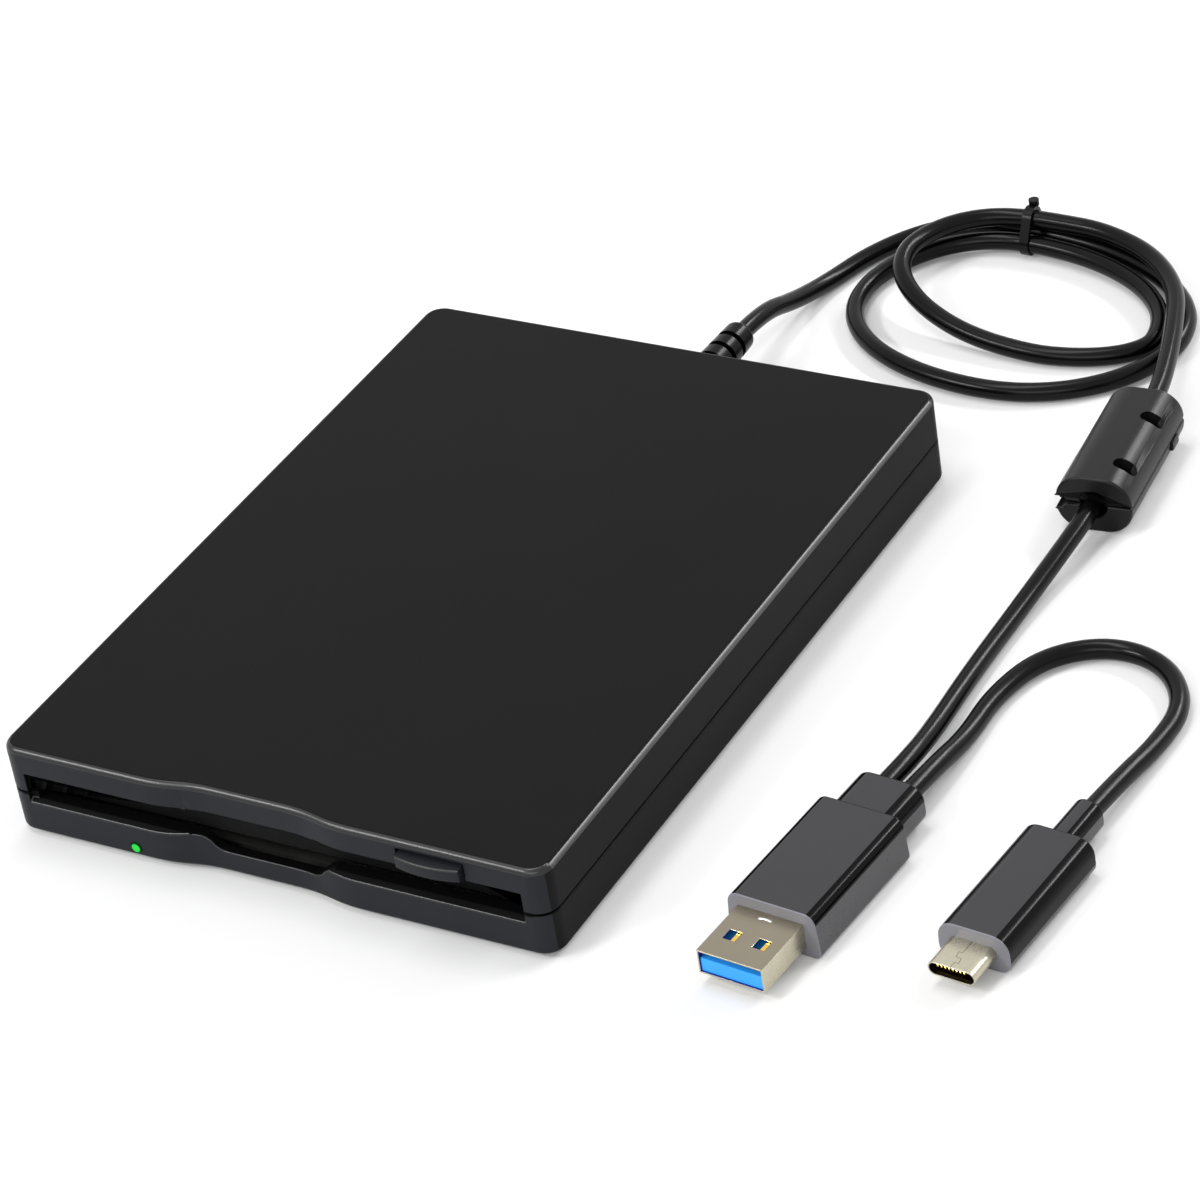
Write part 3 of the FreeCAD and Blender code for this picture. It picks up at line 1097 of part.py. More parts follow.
def coil_path():
    """Two loose turns, each of four quarter turns between its back, right, front and left points."""
    points = []
    for i in range(len(COIL_RIGHT)):
        points += [(COIL_BACK[i], (1, 0)), (COIL_RIGHT[i], (0, -1)), (COIL_FRONT[i], (-1, 0)),
                   (COIL_LEFT[i], (0, 1))]
    points.append((COIL_BACK[-1], (1, 0)))
    spots = [V(*p) for p, _ in points]
    headings = []
    for i, (_, flat) in enumerate(points):
        slope = 0.0
        if 0 < i < len(points) - 1:
            rise = spots[i + 1].z - spots[i - 1].z
            run = (spots[i + 1] - spots[i]).Length + (spots[i] - spots[i - 1]).Length
            low_next = spots[i + 1].z == spots[i].z
            low_before = spots[i - 1].z == spots[i].z
            slope = 0.0 if low_next or low_before else rise / run
        headings.append(unit(V(flat[0], flat[1], slope)))
    edges = [Part.LineSegment(V(*LEAD_POINTS[-1]), spots[0]).toShape()]
    for i in range(len(spots) - 1):
        edges += biarc(spots[i], headings[i], spots[i + 1], headings[i + 1])
    edges.append(Part.LineSegment(spots[-1], V(*COIL_END)).toShape())
    return Part.Wire(edges)


def least_gap(path, step, apart):
    """Least clear distance between stretches of one cord that lie further apart than one turn's bend."""
    pts = path.discretize(Distance=step)
    skip = int(apart / step)
    least = (1e9, pts[0], pts[-1])
    for i, p in enumerate(pts):
        for q in pts[i + skip:]:
            distance = (p - q).Length - CORD_DIAMETER
            if distance < least[0]:
                least = (distance, p, q)
    return least


def cable_tie():
    """Closed band round the three strands: two on the surface, one on top of them."""
    r = CORD_DIAMETER / 2 + TIE_GAP
    centres = [(y, z) for x, y, z in COIL_BACK]

    def hull(radius):
        shapes = []
        for y, z in centres:
            shapes.append(rod((TIE_X - TIE_WIDTH / 2, y, z), X_AXIS, radius, TIE_WIDTH))
        pairs = [(0, 1), (1, 2), (2, 0)]
        for a, b in pairs:
            ya, za = centres[a]
            yb, zb = centres[b]
            across = unit(V(0, -(zb - za), yb - ya)) * radius
            x = TIE_X - TIE_WIDTH / 2
            corners = [V(x, ya, za) + across, V(x, yb, zb) + across, V(x, yb, zb) - across, V(x, ya, za) - across]
            shapes.append(prism([tuple(c) for c in corners], V(TIE_WIDTH, 0, 0)))
        shapes.append(prism([(TIE_X - TIE_WIDTH / 2, y, z) for y, z in centres], V(TIE_WIDTH, 0, 0)))
        return fuse(shapes)

    band = hull(r + TIE_THICKNESS).cut(hull(r))
    floor = block(TIE_X - TIE_WIDTH, TIE_X + TIE_WIDTH, 130, 160, -5, 0)
    knot_y, knot_z = centres[2]
    knot = rod((TIE_X, knot_y + 1.6, knot_z + r + TIE_THICKNESS - 0.4), Z_AXIS, 1.0, 1.2)
    return band.cut(floor).fuse(knot).removeSplitter()


def bead_frame():
    return FreeCAD.Placement(V(BEAD_CENTRE[0], BEAD_CENTRE[1], 0), FreeCAD.Rotation(Z_AXIS, BEAD_YAW_DEG))


def bead_solid(inset):
    w = BEAD_WIDTH / 2 - inset
    h = BEAD_HEIGHT / 2 - inset
    length = BEAD_LENGTH / 2 - inset
    r = BEAD_SECTION_RADIUS - inset
    shape = rounded_block(-w, w, -h, h, -length, length, r)
    shape.rotate(V(0, 0, 0), X_AXIS, 90)
    shape.translate(V(0, 0, BEAD_HEIGHT / 2))
    return shape


def bead_bore():
    return rod((0, -BEAD_LENGTH, BEAD_HEIGHT / 2), Y_AXIS, BEAD_BORE_RADIUS, 2 * BEAD_LENGTH)


def bead_core_room(grow):
    return rod((0, -CORE_LENGTH / 2 - grow, BEAD_HEIGHT / 2), Y_AXIS, CORE_RADIUS + grow, CORE_LENGTH + 2 * grow)


def half_space(z0, z1):
    reach = BEAD_LENGTH
    return block(-reach, reach, -reach, reach, z0, z1)


def bead_halves():
    """Two snap-on halves of the bead's case, hinged along the left side, and the two core halves."""
    middle = BEAD_HEIGHT / 2
    body = bead_solid(0).cut(bead_bore()).cut(bead_core_room(CORE_GAP))
    hinge_x = -BEAD_WIDTH / 2 + HINGE_KNUCKLE_RADIUS - 0.2
    hinge = (hinge_x, middle)
    lower = body.common(half_space(-1, middle))
    upper = body.common(half_space(middle + BEAD_SEAM, BEAD_HEIGHT + 1))
    channel = rod((hinge[0], -BEAD_LENGTH, hinge[1]), Y_AXIS, HINGE_KNUCKLE_RADIUS + 0.2, 2 * BEAD_LENGTH)
    knuckle = BEAD_LENGTH / 6
    lower = lower.cut(channel)
    upper = upper.cut(channel)
    barrels_low = []
    barrels_high = []
    for i, y in enumerate((-10.0, 0.0, 10.0)):
        piece = rod((hinge[0], y - knuckle / 2, hinge[1]), Y_AXIS, HINGE_KNUCKLE_RADIUS, knuckle)
        target = barrels_high if i == 1 else barrels_low
        target.append(piece)
        side = -1 if i != 1 else 1
        z0, z1 = (middle - 2.0, middle) if side < 0 else (middle, middle + 2.0)
        web = block(hinge[0], hinge[0] + 1.6, y - knuckle / 2, y + knuckle / 2, z0, z1)
        target.append(web)
    pin = rod((hinge[0], -10.0 - knuckle / 2, hinge[1]), Y_AXIS, HINGE_PIN_RADIUS, 20.0 + knuckle)
    pin_hole = rod((hinge[0], -BEAD_LENGTH, hinge[1]), Y_AXIS, HINGE_PIN_RADIUS + RUNNING_CLEARANCE,
                   2 * BEAD_LENGTH)
    lower = fuse([lower] + barrels_low).fuse(pin).removeSplitter()
    upper = fuse([upper] + barrels_high).cut(pin_hole)
    windows = []
    for y in WINDOW_PLACES:
        length = WINDOW_LENGTH / 2
        width = WINDOW_WIDTH / 2
        window = rounded_block(-length, length, -width, width, -1.6, 3.0, width - 0.05)
        window.translate(V(0, y, 0))
        window.rotate(V(0, 0, 0), Y_AXIS, WINDOW_TILT_DEG)
        window.translate(V(BEAD_WIDTH / 2 - WINDOW_INSET, 0, BEAD_HEIGHT - 2.0))
        windows.append(window)
    upper = cut(upper, windows)
    core = bead_core_room(0).cut(bead_bore())
    core_low = core.common(half_space(-1, middle))
    core_high = core.common(half_space(middle + BEAD_SEAM, BEAD_HEIGHT + 1))
    placed = []
    for shape in (lower, upper, core_low, core_high):
        shape.Placement = bead_frame().multiply(shape.Placement)
        placed.append(shape)
    pivot = bead_frame().multVec(V(hinge[0], 0, hinge[1]))
    print("bead hinge at (%.4f, %.4f, %.4f)" % (pivot.x, pivot.y, pivot.z))
    return placed


def box_along_y(width, y0, y1, z0, z1, corner):
    face = Part.Face(rounded_outline(-width / 2, width / 2, z0, z1, corner))
    face.rotate(V(0, 0, 0), X_AXIS, 90)
    face.translate(V(0, y1, 0))
    return face.extrude(V(0, y0 - y1, 0))


def plug_a():
    neck_w, neck_l, neck_h = PLUG_A_NECK
    body_w, body_l, body_h = PLUG_A_BODY
    shell_w, shell_l, shell_h = PLUG_A_SHELL
    middle = body_h / 2
    body = box_along_y(body_w, -neck_l - body_l, -neck_l, 0, body_h, BODY_CORNER)
    ends = [e for e in body.Edges if abs(e.BoundBox.YMin - e.BoundBox.YMax) < 1e-6]
    body = body.makeChamfer(0.5, ends)
    neck = box_along_y(neck_w, -neck_l - 1, 0, middle - neck_h / 2, middle + neck_h / 2, 2.4)
    front = -neck_l - body_l
    shell_room = block(-shell_w / 2, shell_w / 2, front - 1, front + 4, middle - shell_h / 2,
                       middle + shell_h / 2)
    body = body.fuse(neck).removeSplitter().cut(shell_room)
    tip = front - shell_l
    outer = block(-shell_w / 2, shell_w / 2, tip, front + 4, middle - shell_h / 2, middle + shell_h / 2)
    sheet = PLUG_A_SHEET
    inner = block(-shell_w / 2 + sheet, shell_w / 2 - sheet, tip - 1, front + 3.7, middle - shell_h / 2 + sheet,
                  middle + shell_h / 2 - sheet)
    shell = outer.cut(inner)
    half = PLUG_A_WINDOW / 2
    for side in (-1, 1):
        x = side * PLUG_A_WINDOW_SPACING / 2
        y = tip + PLUG_A_WINDOW_PLACE
        shell = shell.cut(block(x - half, x + half, y - half, y + half, -1, body_h + 1))
    insert_low = middle - shell_h / 2 + sheet
    insert = block(-shell_w / 2 + sheet, shell_w / 2 - sheet, tip + 0.3, front + 3.7, insert_low,
                   insert_low + PLUG_A_INSERT_THICKNESS)
    contacts = []
    top = insert_low + PLUG_A_INSERT_THICKNESS
    for x in (-3.5, -1.0, 1.0, 3.5):
        contacts.append(block(x - 0.5, x + 0.5, tip + 1.2, tip + 9.0, top, top + CONTACT_THICKNESS))
    frame = plug_frame(PLUG_A_REAR)
    for shape in [body, shell, insert] + contacts:
        shape.Placement = frame.multiply(shape.Placement)
    return body, shell, insert, contacts


def plug_c():
    neck_w, neck_l, neck_h = PLUG_C_NECK
    body_w, body_l, body_h = PLUG_C_BODY
    shell_w, shell_l, shell_h = PLUG_C_SHELL
    middle = body_h / 2
    body = box_along_y(body_w, -neck_l - body_l, -neck_l, 0, body_h, body_h / 2 - 0.9)
    ends = [e for e in body.Edges if abs(e.BoundBox.YMin - e.BoundBox.YMax) < 1e-6]
    body = body.makeChamfer(0.4, ends)
    neck = box_along_y(neck_w, -neck_l - 1, 0, middle - neck_h / 2, middle + neck_h / 2, 1.6)
    front = -neck_l - body_l
    tip = front - shell_l
    radius = shell_h / 2 - 0.01
    outer = box_along_y(shell_w, tip, front + 3, middle - shell_h / 2, middle + shell_h / 2, radius)
    sheet = PLUG_C_SHEET
    inner = box_along_y(shell_w - 2 * sheet, tip - 1, front + 2.7, middle - shell_h / 2 + sheet,
                        middle + shell_h / 2 - sheet, radius - sheet)
    body = body.fuse(neck).removeSplitter().cut(outer)
    shell = outer.cut(inner)
    contacts = []
    for row in (-1, 1):
        for i in range(12):
            x = (i - 5.5) * 0.5
            z = middle + row * (shell_h / 2 - sheet - CONTACT_THICKNESS / 2)
            contacts.append(block(x - 0.13, x + 0.13, tip + 0.6, tip + 5.0, z - CONTACT_THICKNESS / 2,
                                  z + CONTACT_THICKNESS / 2))
    frame = plug_frame(PLUG_C_REAR)
    for shape in [body, shell] + contacts:
        shape.Placement = frame.multiply(shape.Placement)
    return body, shell, contacts


def save(name, shapes):
    solids = []
    for shape in (shapes if isinstance(shapes, (list, tuple)) else [shapes]):
        solids += shape.Solids
    bad = [s for s in solids if not s.isValid() or s.Volume <= 0]
    if bad:
        print("CHECK", name, "has", len(bad), "bad solids")
    shape = solids[0] if len(solids) == 1 else Part.makeCompound(solids)
    shape.exportStep("parts/%s.step" % name)
    print(name, len(solids), "solids, %.2f mm3" % sum(s.Volume for s in solids))


def main():
    os.makedirs("parts", exist_ok=True)
    pieces = {
        "top_cover": top_cover(), "bottom_cover": bottom_cover(), "rubber_pads": rubber_pads(),
        "case_screws": case_screws(), "mechanism_screws": mechanism_screws(), "eject_button": eject_button(),
        "eject_slide": eject_slide(), "eject_springs": eject_springs(), "disk_holder": disk_holder(),
        "shutter_lever": shutter_lever(), "lever_rivet": lever_rivet(), "dust_flap": dust_flap(),
        "led_lens": led_lens(), "led_board": led_board(),
        "strain_relief": strain_relief(), "drive_chassis": drive_chassis(), "top_shield": top_shield(),
        "spindle_bearing": spindle_bearing(), "spindle_shaft": spindle_shaft(), "rotor_plate": rotor_plate(),
        "rotor_magnet": rotor_magnet(), "hub_plate": hub_plate(), "motor_board": motor_board(),
        "stator_coils": stator_coils(), "stepper_motor": stepper_motor(), "lead_screw": lead_screw(),
        "screw_bracket": screw_bracket(), "head_carriage": head_carriage(), "guide_rod": guide_rod(),
        "rod_clamps": rod_clamps(), "lower_head": head_block(LOWER_HEAD_TOP - 0.6, LOWER_HEAD_TOP),
        "upper_head": head_block(UPPER_HEAD_LOW, UPPER_HEAD_LOW + 0.5), "upper_arm": upper_arm(),
        "arm_pin": arm_pin(), "logic_board": logic_board(), "main_board": main_board(),
        "circuit_chips": circuit_chips(), "cable_header": cable_header(), "cable_wires": cable_wires(),
        "ribbon_cable": ribbon_cable(), "disk_switches": disk_switches(), "cable_tie": cable_tie()}
    for name, place in SWITCH_PLACES.items():
        pieces[name] = switch_pin(place)

    bead_lower, bead_upper, core_lower, core_upper = bead_halves()
    pieces["bead_case_lower"] = bead_lower
    pieces["bead_case_upper"] = bead_upper
    pieces["bead_core_lower"] = core_lower
    pieces["bead_core_upper"] = core_upper
    for letter, shapes in (("a", plug_a()), ("c", plug_c())):
        labels = ("body", "shell", "insert", "contacts") if letter == "a" else ("body", "shell", "contacts")
        for label, shape in zip(labels, shapes):
            pieces["plug_%s_%s" % (letter, label)] = shape

    half = PLUG_A_CORD_SPACING / 2
    main_end = plug_point(PLUG_A_REAR, -half, 0, PLUG_A_BODY[2] / 2)
    pigtail_start = plug_point(PLUG_A_REAR, half, 0, PLUG_A_BODY[2] / 2)
    pigtail_end = plug_point(PLUG_C_REAR, 0, 0, PLUG_C_BODY[2] / 2)
    print("main cord ends at (%.2f, %.2f, %.2f)" % main_end)
    print("pigtail from (%.2f, %.2f, %.2f) to (%.2f, %.2f, %.2f)" % (pigtail_start + pigtail_end))
    pieces["cord_lead"] = tube(rounded_path(LEAD_POINTS, "cord_lead"), "cord_lead")
    path = coil_path()
    gap, near, far = least_gap(path, 1.0, 30.0)
    print("cord_coil length %.1f mm, least gap to itself %.2f mm at (%.1f, %.1f, %.1f) and (%.1f, %.1f, %.1f)" % (
        path.Length, gap, near.x, near.y, near.z, far.x, far.y, far.z))
    pieces["cord_coil"] = tube(path, "cord_coil", default_mode=True)
    pieces["cord_run"] = tube(rounded_path(RUN_POINTS + [main_end], "cord_run"), "cord_run")
    pieces["cord_pigtail"] = tube(rounded_path([pigtail_start] + PIGTAIL_POINTS + [pigtail_end], "cord_pigtail"),
                                  "cord_pigtail")
    for name, shape in pieces.items():
        save(name, shape)
    print(len(pieces), "nodes")


main()
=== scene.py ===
# %% [markdown]
# # An external floppy disk drive, dressed in Blender
# The drive, its looped cord and its two plugs are already built as solids. This script loads
# them as a fixed frame and gives them what a viewer sees: the camera, a plain studio, smooth
# cords, softly rounded plugs and a finish for every surface.

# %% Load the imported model
import bpy
import bmesh
import math
from mathutils import Matrix, Vector


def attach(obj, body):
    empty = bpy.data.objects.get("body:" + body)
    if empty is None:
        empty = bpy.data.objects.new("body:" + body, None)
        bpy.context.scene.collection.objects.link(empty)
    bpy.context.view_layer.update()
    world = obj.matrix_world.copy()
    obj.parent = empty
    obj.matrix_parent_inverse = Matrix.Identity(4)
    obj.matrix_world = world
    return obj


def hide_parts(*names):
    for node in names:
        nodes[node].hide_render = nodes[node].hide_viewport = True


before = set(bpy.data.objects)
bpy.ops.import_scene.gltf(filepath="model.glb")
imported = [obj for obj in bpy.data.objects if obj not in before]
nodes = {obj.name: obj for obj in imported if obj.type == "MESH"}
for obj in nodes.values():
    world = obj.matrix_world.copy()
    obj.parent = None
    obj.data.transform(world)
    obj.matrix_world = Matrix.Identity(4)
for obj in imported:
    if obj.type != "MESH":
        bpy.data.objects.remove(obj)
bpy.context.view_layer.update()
MM = 0.001


# %% Helper that puts new data into the scene
def new_object(name, data):
    made = bpy.data.objects.new(name, data)
    bpy.context.collection.objects.link(made)
    return made


# %% [markdown]
# ## Camera
# The photograph was taken with a long lens from the front right, a little more than thirty
# degrees above the table, and the picture is rolled so that the drive climbs to the right.
# A camera looks along its own -Z, so its matrix is built from the direction back to the eye,
# and the roll turns the two other axes about it.

# %% Place the camera
CAMERA_PLACE = Vector((382.07, -521.80, 449.44)) * MM
CAMERA_AZIMUTH = math.radians(34.57)
CAMERA_ELEVATION = math.radians(34.447)
CAMERA_ROLL = math.radians(-9.727)
SENSOR_WIDTH = 36.0
LENS = 137.853

back = Vector((math.sin(CAMERA_AZIMUTH) * math.cos(CAMERA_ELEVATION),
               -math.cos(CAMERA_AZIMUTH) * math.cos(CAMERA_ELEVATION),
               math.sin(CAMERA_ELEVATION)))
level_right = (-back).cross(Vector((0, 0, 1))).normalized()
level_up = level_right.cross(-back)
right = level_right * math.cos(CAMERA_ROLL) + level_up * math.sin(CAMERA_ROLL)
up = level_up * math.cos(CAMERA_ROLL) - level_right * math.sin(CAMERA_ROLL)

camera_data = bpy.data.cameras.new("camera")
camera_data.sensor_width = SENSOR_WIDTH
camera_data.lens = LENS
camera_data.clip_start = 0.01
camera = new_object("camera", camera_data)
camera.matrix_world = Matrix.Translation(CAMERA_PLACE) @ Matrix((right, up, back)).transposed().to_4x4()
bpy.context.scene.camera = camera
bpy.context.scene.view_settings.view_transform = "Standard"
print("camera looks along", tuple(round(v, 3) for v in -back))

# %% [markdown]
# ## Colours and materials
# Colours are noted as the eye sees them, from 0 to 255, and turned into the linear values
# that a shader needs. Each material keeps its own Principled shader. The fine structure of
# the surface comes from two shared node groups: a moulded grain for plastics and rubber, and
# a drawn-line grain for rolled or turned metal. Both read Object coordinates, in metres, so a
# scale of 2500 makes grains less than half a millimetre across.

# %% Helpers for colours and nodes
NOISE_MIDDLE = (0.3, 0.7)
SOCKET_KINDS = {"color": "NodeSocketColor", "float": "NodeSocketFloat", "vector": "NodeSocketVector"}
SURFACE_OUTPUTS = [("Color", "color"), ("Roughness", "float"), ("Normal", "vector")]


def seen(r, g, b):
    """Linear colour for a colour given as it appears on screen."""
    def linear(v):
        v /= 255
        return v / 12.92 if v <= 0.04045 else ((v + 0.055) / 1.055) ** 2.4
    return (linear(r), linear(g), linear(b), 1.0)


def surface_group(name, inputs):
    """New shader group with the given inputs, which puts out colour, roughness and normal."""
    tree = bpy.data.node_groups.new(name, "ShaderNodeTree")
    for label, kind in inputs:
        tree.interface.new_socket(name=label, in_out="INPUT", socket_type=SOCKET_KINDS[kind])
    for label, kind in SURFACE_OUTPUTS:
        tree.interface.new_socket(name=label, in_out="OUTPUT", socket_type=SOCKET_KINDS[kind])
    return tree, tree.nodes.new("NodeGroupInput"), tree.nodes.new("NodeGroupOutput")


def noise_in(tree, vector, scale, detail=2.0):
    """Noise whose scale is a number or comes from a socket."""
    node = tree.nodes.new("ShaderNodeTexNoise")
    node.inputs["Detail"].default_value = detail
    tree.links.new(vector, node.inputs["Vector"])
    if isinstance(scale, float):
        node.inputs["Scale"].default_value = scale
    else:
        tree.links.new(scale, node.inputs["Scale"])
    return node.outputs["Fac"]


def mapped_in(tree, value, from_range, to_range):
    """Carries a value from one range to another."""
    node = tree.nodes.new("ShaderNodeMapRange")
    for label, number in zip(("From Min", "From Max", "To Min", "To Max"), from_range + to_range):
        node.inputs[label].default_value = number
    tree.links.new(value, node.inputs["Value"])
    return node.outputs["Result"]


def spread_in(tree, noise, low, high):
    """Spreads the middle of a noise over a range."""
    return mapped_in(tree, noise, NOISE_MIDDLE, (low, high))


def math_in(tree, operation, a, b):
    """Math node on two values, each a number or a socket."""
    node = tree.nodes.new("ShaderNodeMath")
    node.operation = operation
    for socket, value in zip(node.inputs, (a, b)):
        if isinstance(value, (int, float)):
            socket.default_value = value
        else:
            tree.links.new(value, socket)
    return node.outputs["Value"]


def surface_out(tree, given, result, height, shade, rougher):
    """Sends a bump, a shaded colour and a changed roughness to the group's three outputs."""
    bump = tree.nodes.new("ShaderNodeBump")
    bump.inputs["Strength"].default_value = 1.0
    bump.inputs["Distance"].default_value = 1.0
    tree.links.new(height, bump.inputs["Height"])
    tree.links.new(bump.outputs["Normal"], result.inputs["Normal"])
    tint = tree.nodes.new("ShaderNodeHueSaturation")
    tree.links.new(given.outputs["Color"], tint.inputs["Color"])
    tree.links.new(shade, tint.inputs["Value"])
    tree.links.new(tint.outputs["Color"], result.inputs["Color"])
    tree.links.new(math_in(tree, "ADD", given.outputs["Roughness"], rougher), result.inputs["Roughness"])


# %% [markdown]
# ### Grain for plastic and rubber
# A moulded part copies the fine grain of its mould and is a little cloudy. An image laid on it
# would repeat and show its seams, so a fine noise makes the grain and a coarse one the
# clouding, and both change colour, roughness and bump.


# %% Group: moulded grain
def build_moulded_grain():
    tree, given, result = surface_group(
        "moulded grain",
        [("Color", "color"), ("Roughness", "float"), ("Grain Scale", "float"), ("Grain Depth", "float"),
         ("Clouding", "float")])
    place = tree.nodes.new("ShaderNodeTexCoord").outputs["Object"]
    grain = noise_in(tree, place, given.outputs["Grain Scale"], 3.0)
    height = math_in(tree, "MULTIPLY", grain, given.outputs["Grain Depth"])
    cloud = spread_in(tree, noise_in(tree, place, 45.0, 4.0), -1.0, 1.0)
    speck = spread_in(tree, grain, -0.5, 0.5)
    change = math_in(tree, "MULTIPLY", math_in(tree, "ADD", cloud, speck), given.outputs["Clouding"])
    rougher = math_in(tree, "MULTIPLY", change, 0.35)
    surface_out(tree, given, result, height, math_in(tree, "ADD", change, 1.0), rougher)
    return tree


# %% [markdown]
# ### Drawn lines for metal
# Rolled sheet and turned rods keep fine parallel lines from the tool. They are far too small to
# model, and a noise with a different scale along each axis draws them.


# %% Group: drawn lines
def build_drawn_metal():
    tree, given, result = surface_group(
        "drawn metal",
        [("Color", "color"), ("Roughness", "float"), ("Line Scale", "vector"), ("Line Depth", "float")])
    place = tree.nodes.new("ShaderNodeTexCoord").outputs["Object"]
    stretch = tree.nodes.new("ShaderNodeVectorMath")
    stretch.operation = "MULTIPLY"
    tree.links.new(place, stretch.inputs[0])
    tree.links.new(given.outputs["Line Scale"], stretch.inputs[1])
    lines = noise_in(tree, stretch.outputs["Vector"], 1.0, 3.0)
    height = math_in(tree, "MULTIPLY", lines, given.outputs["Line Depth"])
    stain = spread_in(tree, noise_in(tree, place, 90.0, 4.0), 0.93, 1.05)
    surface_out(tree, given, result, height, stain, spread_in(tree, lines, -0.02, 0.03))
    return tree


MOULDED_GRAIN = build_moulded_grain()
DRAWN_METAL = build_drawn_metal()
print("shared groups:", MOULDED_GRAIN.name, "and", DRAWN_METAL.name)

# %% [markdown]
# ### One maker for every material
# The finishes differ only in a few numbers. So one function puts a shared group into a new
# material, hands it those numbers and joins it to the material's own Principled shader.


# %% Make one material from a group and a shader
def material_from(group, name, values, sockets):
    """Material whose colour, roughness and normal come from a shared group."""
    material = bpy.data.materials.new(name)
    material.use_nodes = True
    tree = material.node_tree
    shader = tree.nodes["Principled BSDF"]
    for label, value in sockets.items():
        shader.inputs[label].default_value = value
    node = tree.nodes.new("ShaderNodeGroup")
    node.node_tree = group
    for label, value in values.items():
        node.inputs[label].default_value = value
    for source, target in (("Color", "Base Color"), ("Roughness", "Roughness"), ("Normal", "Normal")):
        tree.links.new(node.outputs[source], shader.inputs[target])
    return material


def plastic(name, colour, roughness, scale=2500.0, depth=4e-6, clouding=0.06, specular=0.5, coat=0.0):
    return material_from(MOULDED_GRAIN, name,
                         {"Color": seen(*colour), "Roughness": roughness, "Grain Scale": scale,
                          "Grain Depth": depth, "Clouding": clouding},
                         {"Specular IOR Level": specular, "Coat Weight": coat, "Coat Roughness": 0.12})


def metal(name, colour, roughness, lines=(300.0, 9000.0, 3000.0), depth=2e-6):
    return material_from(DRAWN_METAL, name,
                         {"Color": seen(*colour), "Roughness": roughness, "Line Scale": lines,
                          "Line Depth": depth},
                         {"Metallic": 1.0})


# %% [markdown]
# ## The finishes of this drive
# The covers are satin, with a very fine spark-eroded grain: near-black on top, slate at the
# front, made lighter at the sides as painted light and polished along the outer edges, whose long
# upper ones are made lighter still as a painted highlight, and near-black in the slot as painted
# shade. The cords are glossy, and the plugs smooth dark grey with polished edges, whose upper bands
# are painted near-black as a painted reflection and whose sides are made lighter as painted light.
# Inside there is sheet metal, brass, copper, green board and black moulding. Two tables hold the
# numbers, so that finishes can be compared line by line.

# %% Plastics: colour, roughness, grain scale, grain depth, clouding, specular, coat
PLASTICS = {
    "cover_black": ((18, 18, 18), 0.34, 2600.0, 2e-6, 0.04, 0.05),
    "cover_slate": ((36, 38, 42), 0.4, 2400.0, 3e-6, 0.05, 0.09),
    # Sides lighter than the top: painted light, for the floor reflected in them.
    "cover_side_painted_light": ((27, 27, 27), 0.4, 2600.0, 2e-6, 0.04, 0.035),
    "cover_edge": ((19, 19, 20), 0.3, 2600.0, 5e-8, 0.03, 0.44),
    # Long upper edges lighter and shinier than the top: a painted highlight along the lamp's line.
    "cover_long_edge_painted_highlight": ((34, 34, 35), 0.42, 2600.0, 5e-8, 0.03, 1.0),
    "button_slate": ((34, 36, 40), 0.36, 2800.0, 3e-6, 0.05, 0.12),
    "flap_black": ((10, 10, 11), 0.6, 2000.0, 6e-6, 0.08, 0.1),
    "pad_rubber": ((26, 26, 27), 0.85, 1500.0, 2e-5, 0.1, 0.3),
    "relief_rubber": ((6, 6, 7), 0.26, 2200.0, 2e-7, 0.08, 0.12),
    "chip_black": ((28, 28, 30), 0.6, 3500.0, 8e-6, 0.1, 0.3),
    "connector_white": ((226, 224, 214), 0.45, 2000.0, 3e-6, 0.03, 0.4),
    "wire_red": ((170, 40, 38), 0.4, 900.0, 3e-6, 0.08, 0.5),
    "ribbon_grey": ((205, 204, 200), 0.45, 700.0, 8e-6, 0.04, 0.4),
    "carriage_black": ((42, 42, 44), 0.5, 2400.0, 6e-6, 0.07, 0.35),
    "board_green": ((22, 84, 44), 0.32, 260.0, 1.2e-5, 0.25, 0.5, 0.5),
    "head_ceramic": ((226, 218, 198), 0.15, 4000.0, 1e-6, 0.03, 0.6),
    # Ferrite core light grey: a painted glint seen through the bead's windows.
    "core_grey_painted_glint": ((126, 126, 130), 0.26, 3000.0, 2e-7, 0.12, 0.8),
    "cord_black": ((5, 5, 5), 0.24, 900.0, 5e-8, 0.08, 0.14),
    "tie_black": ((7, 7, 8), 0.28, 1800.0, 3e-7, 0.1, 0.15),
    "bead_black": ((18, 18, 19), 0.33, 2200.0, 2e-7, 0.05, 0.2),
    "plug_grey": ((58, 58, 60), 0.3, 2600.0, 1e-6, 0.04, 0.15),
    # Plug sides lighter than the top: painted light, for the floor reflected in them.
    "plug_side_painted_light": ((82, 82, 84), 0.28, 2600.0, 1e-6, 0.04, 0.2),
    # Plug upper bands near-black: a painted reflection.
    "plug_band_painted_dark_reflection": ((6, 6, 6), 0.16, 2600.0, 1e-6, 0.04, 0.1),
    "plug_rim": ((124, 124, 131), 0.3, 2600.0, 1e-6, 0.03, 0.3),
    # Black for the narrow plug's stepped seam, and painted shade inside the narrow shell.
    "seam_black_and_painted_shade": ((12, 11, 10), 0.5, 2600.0, 1e-6, 0.03, 0.1),
    "tongue_blue": ((52, 166, 255), 0.35, 2400.0, 1e-6, 0.03, 0.3),
    # Navy on the wide shell's inner faces: painted shade behind its windows.
    "window_navy_painted_shade": ((22, 34, 128), 0.4, 2400.0, 1e-6, 0.05, 0.3),
    # Slot faces near-black: painted shade in the recess.
    "slot_painted_shade": ((8, 8, 9), 0.5, 2400.0, 3e-6, 0.05, 0.05),
}

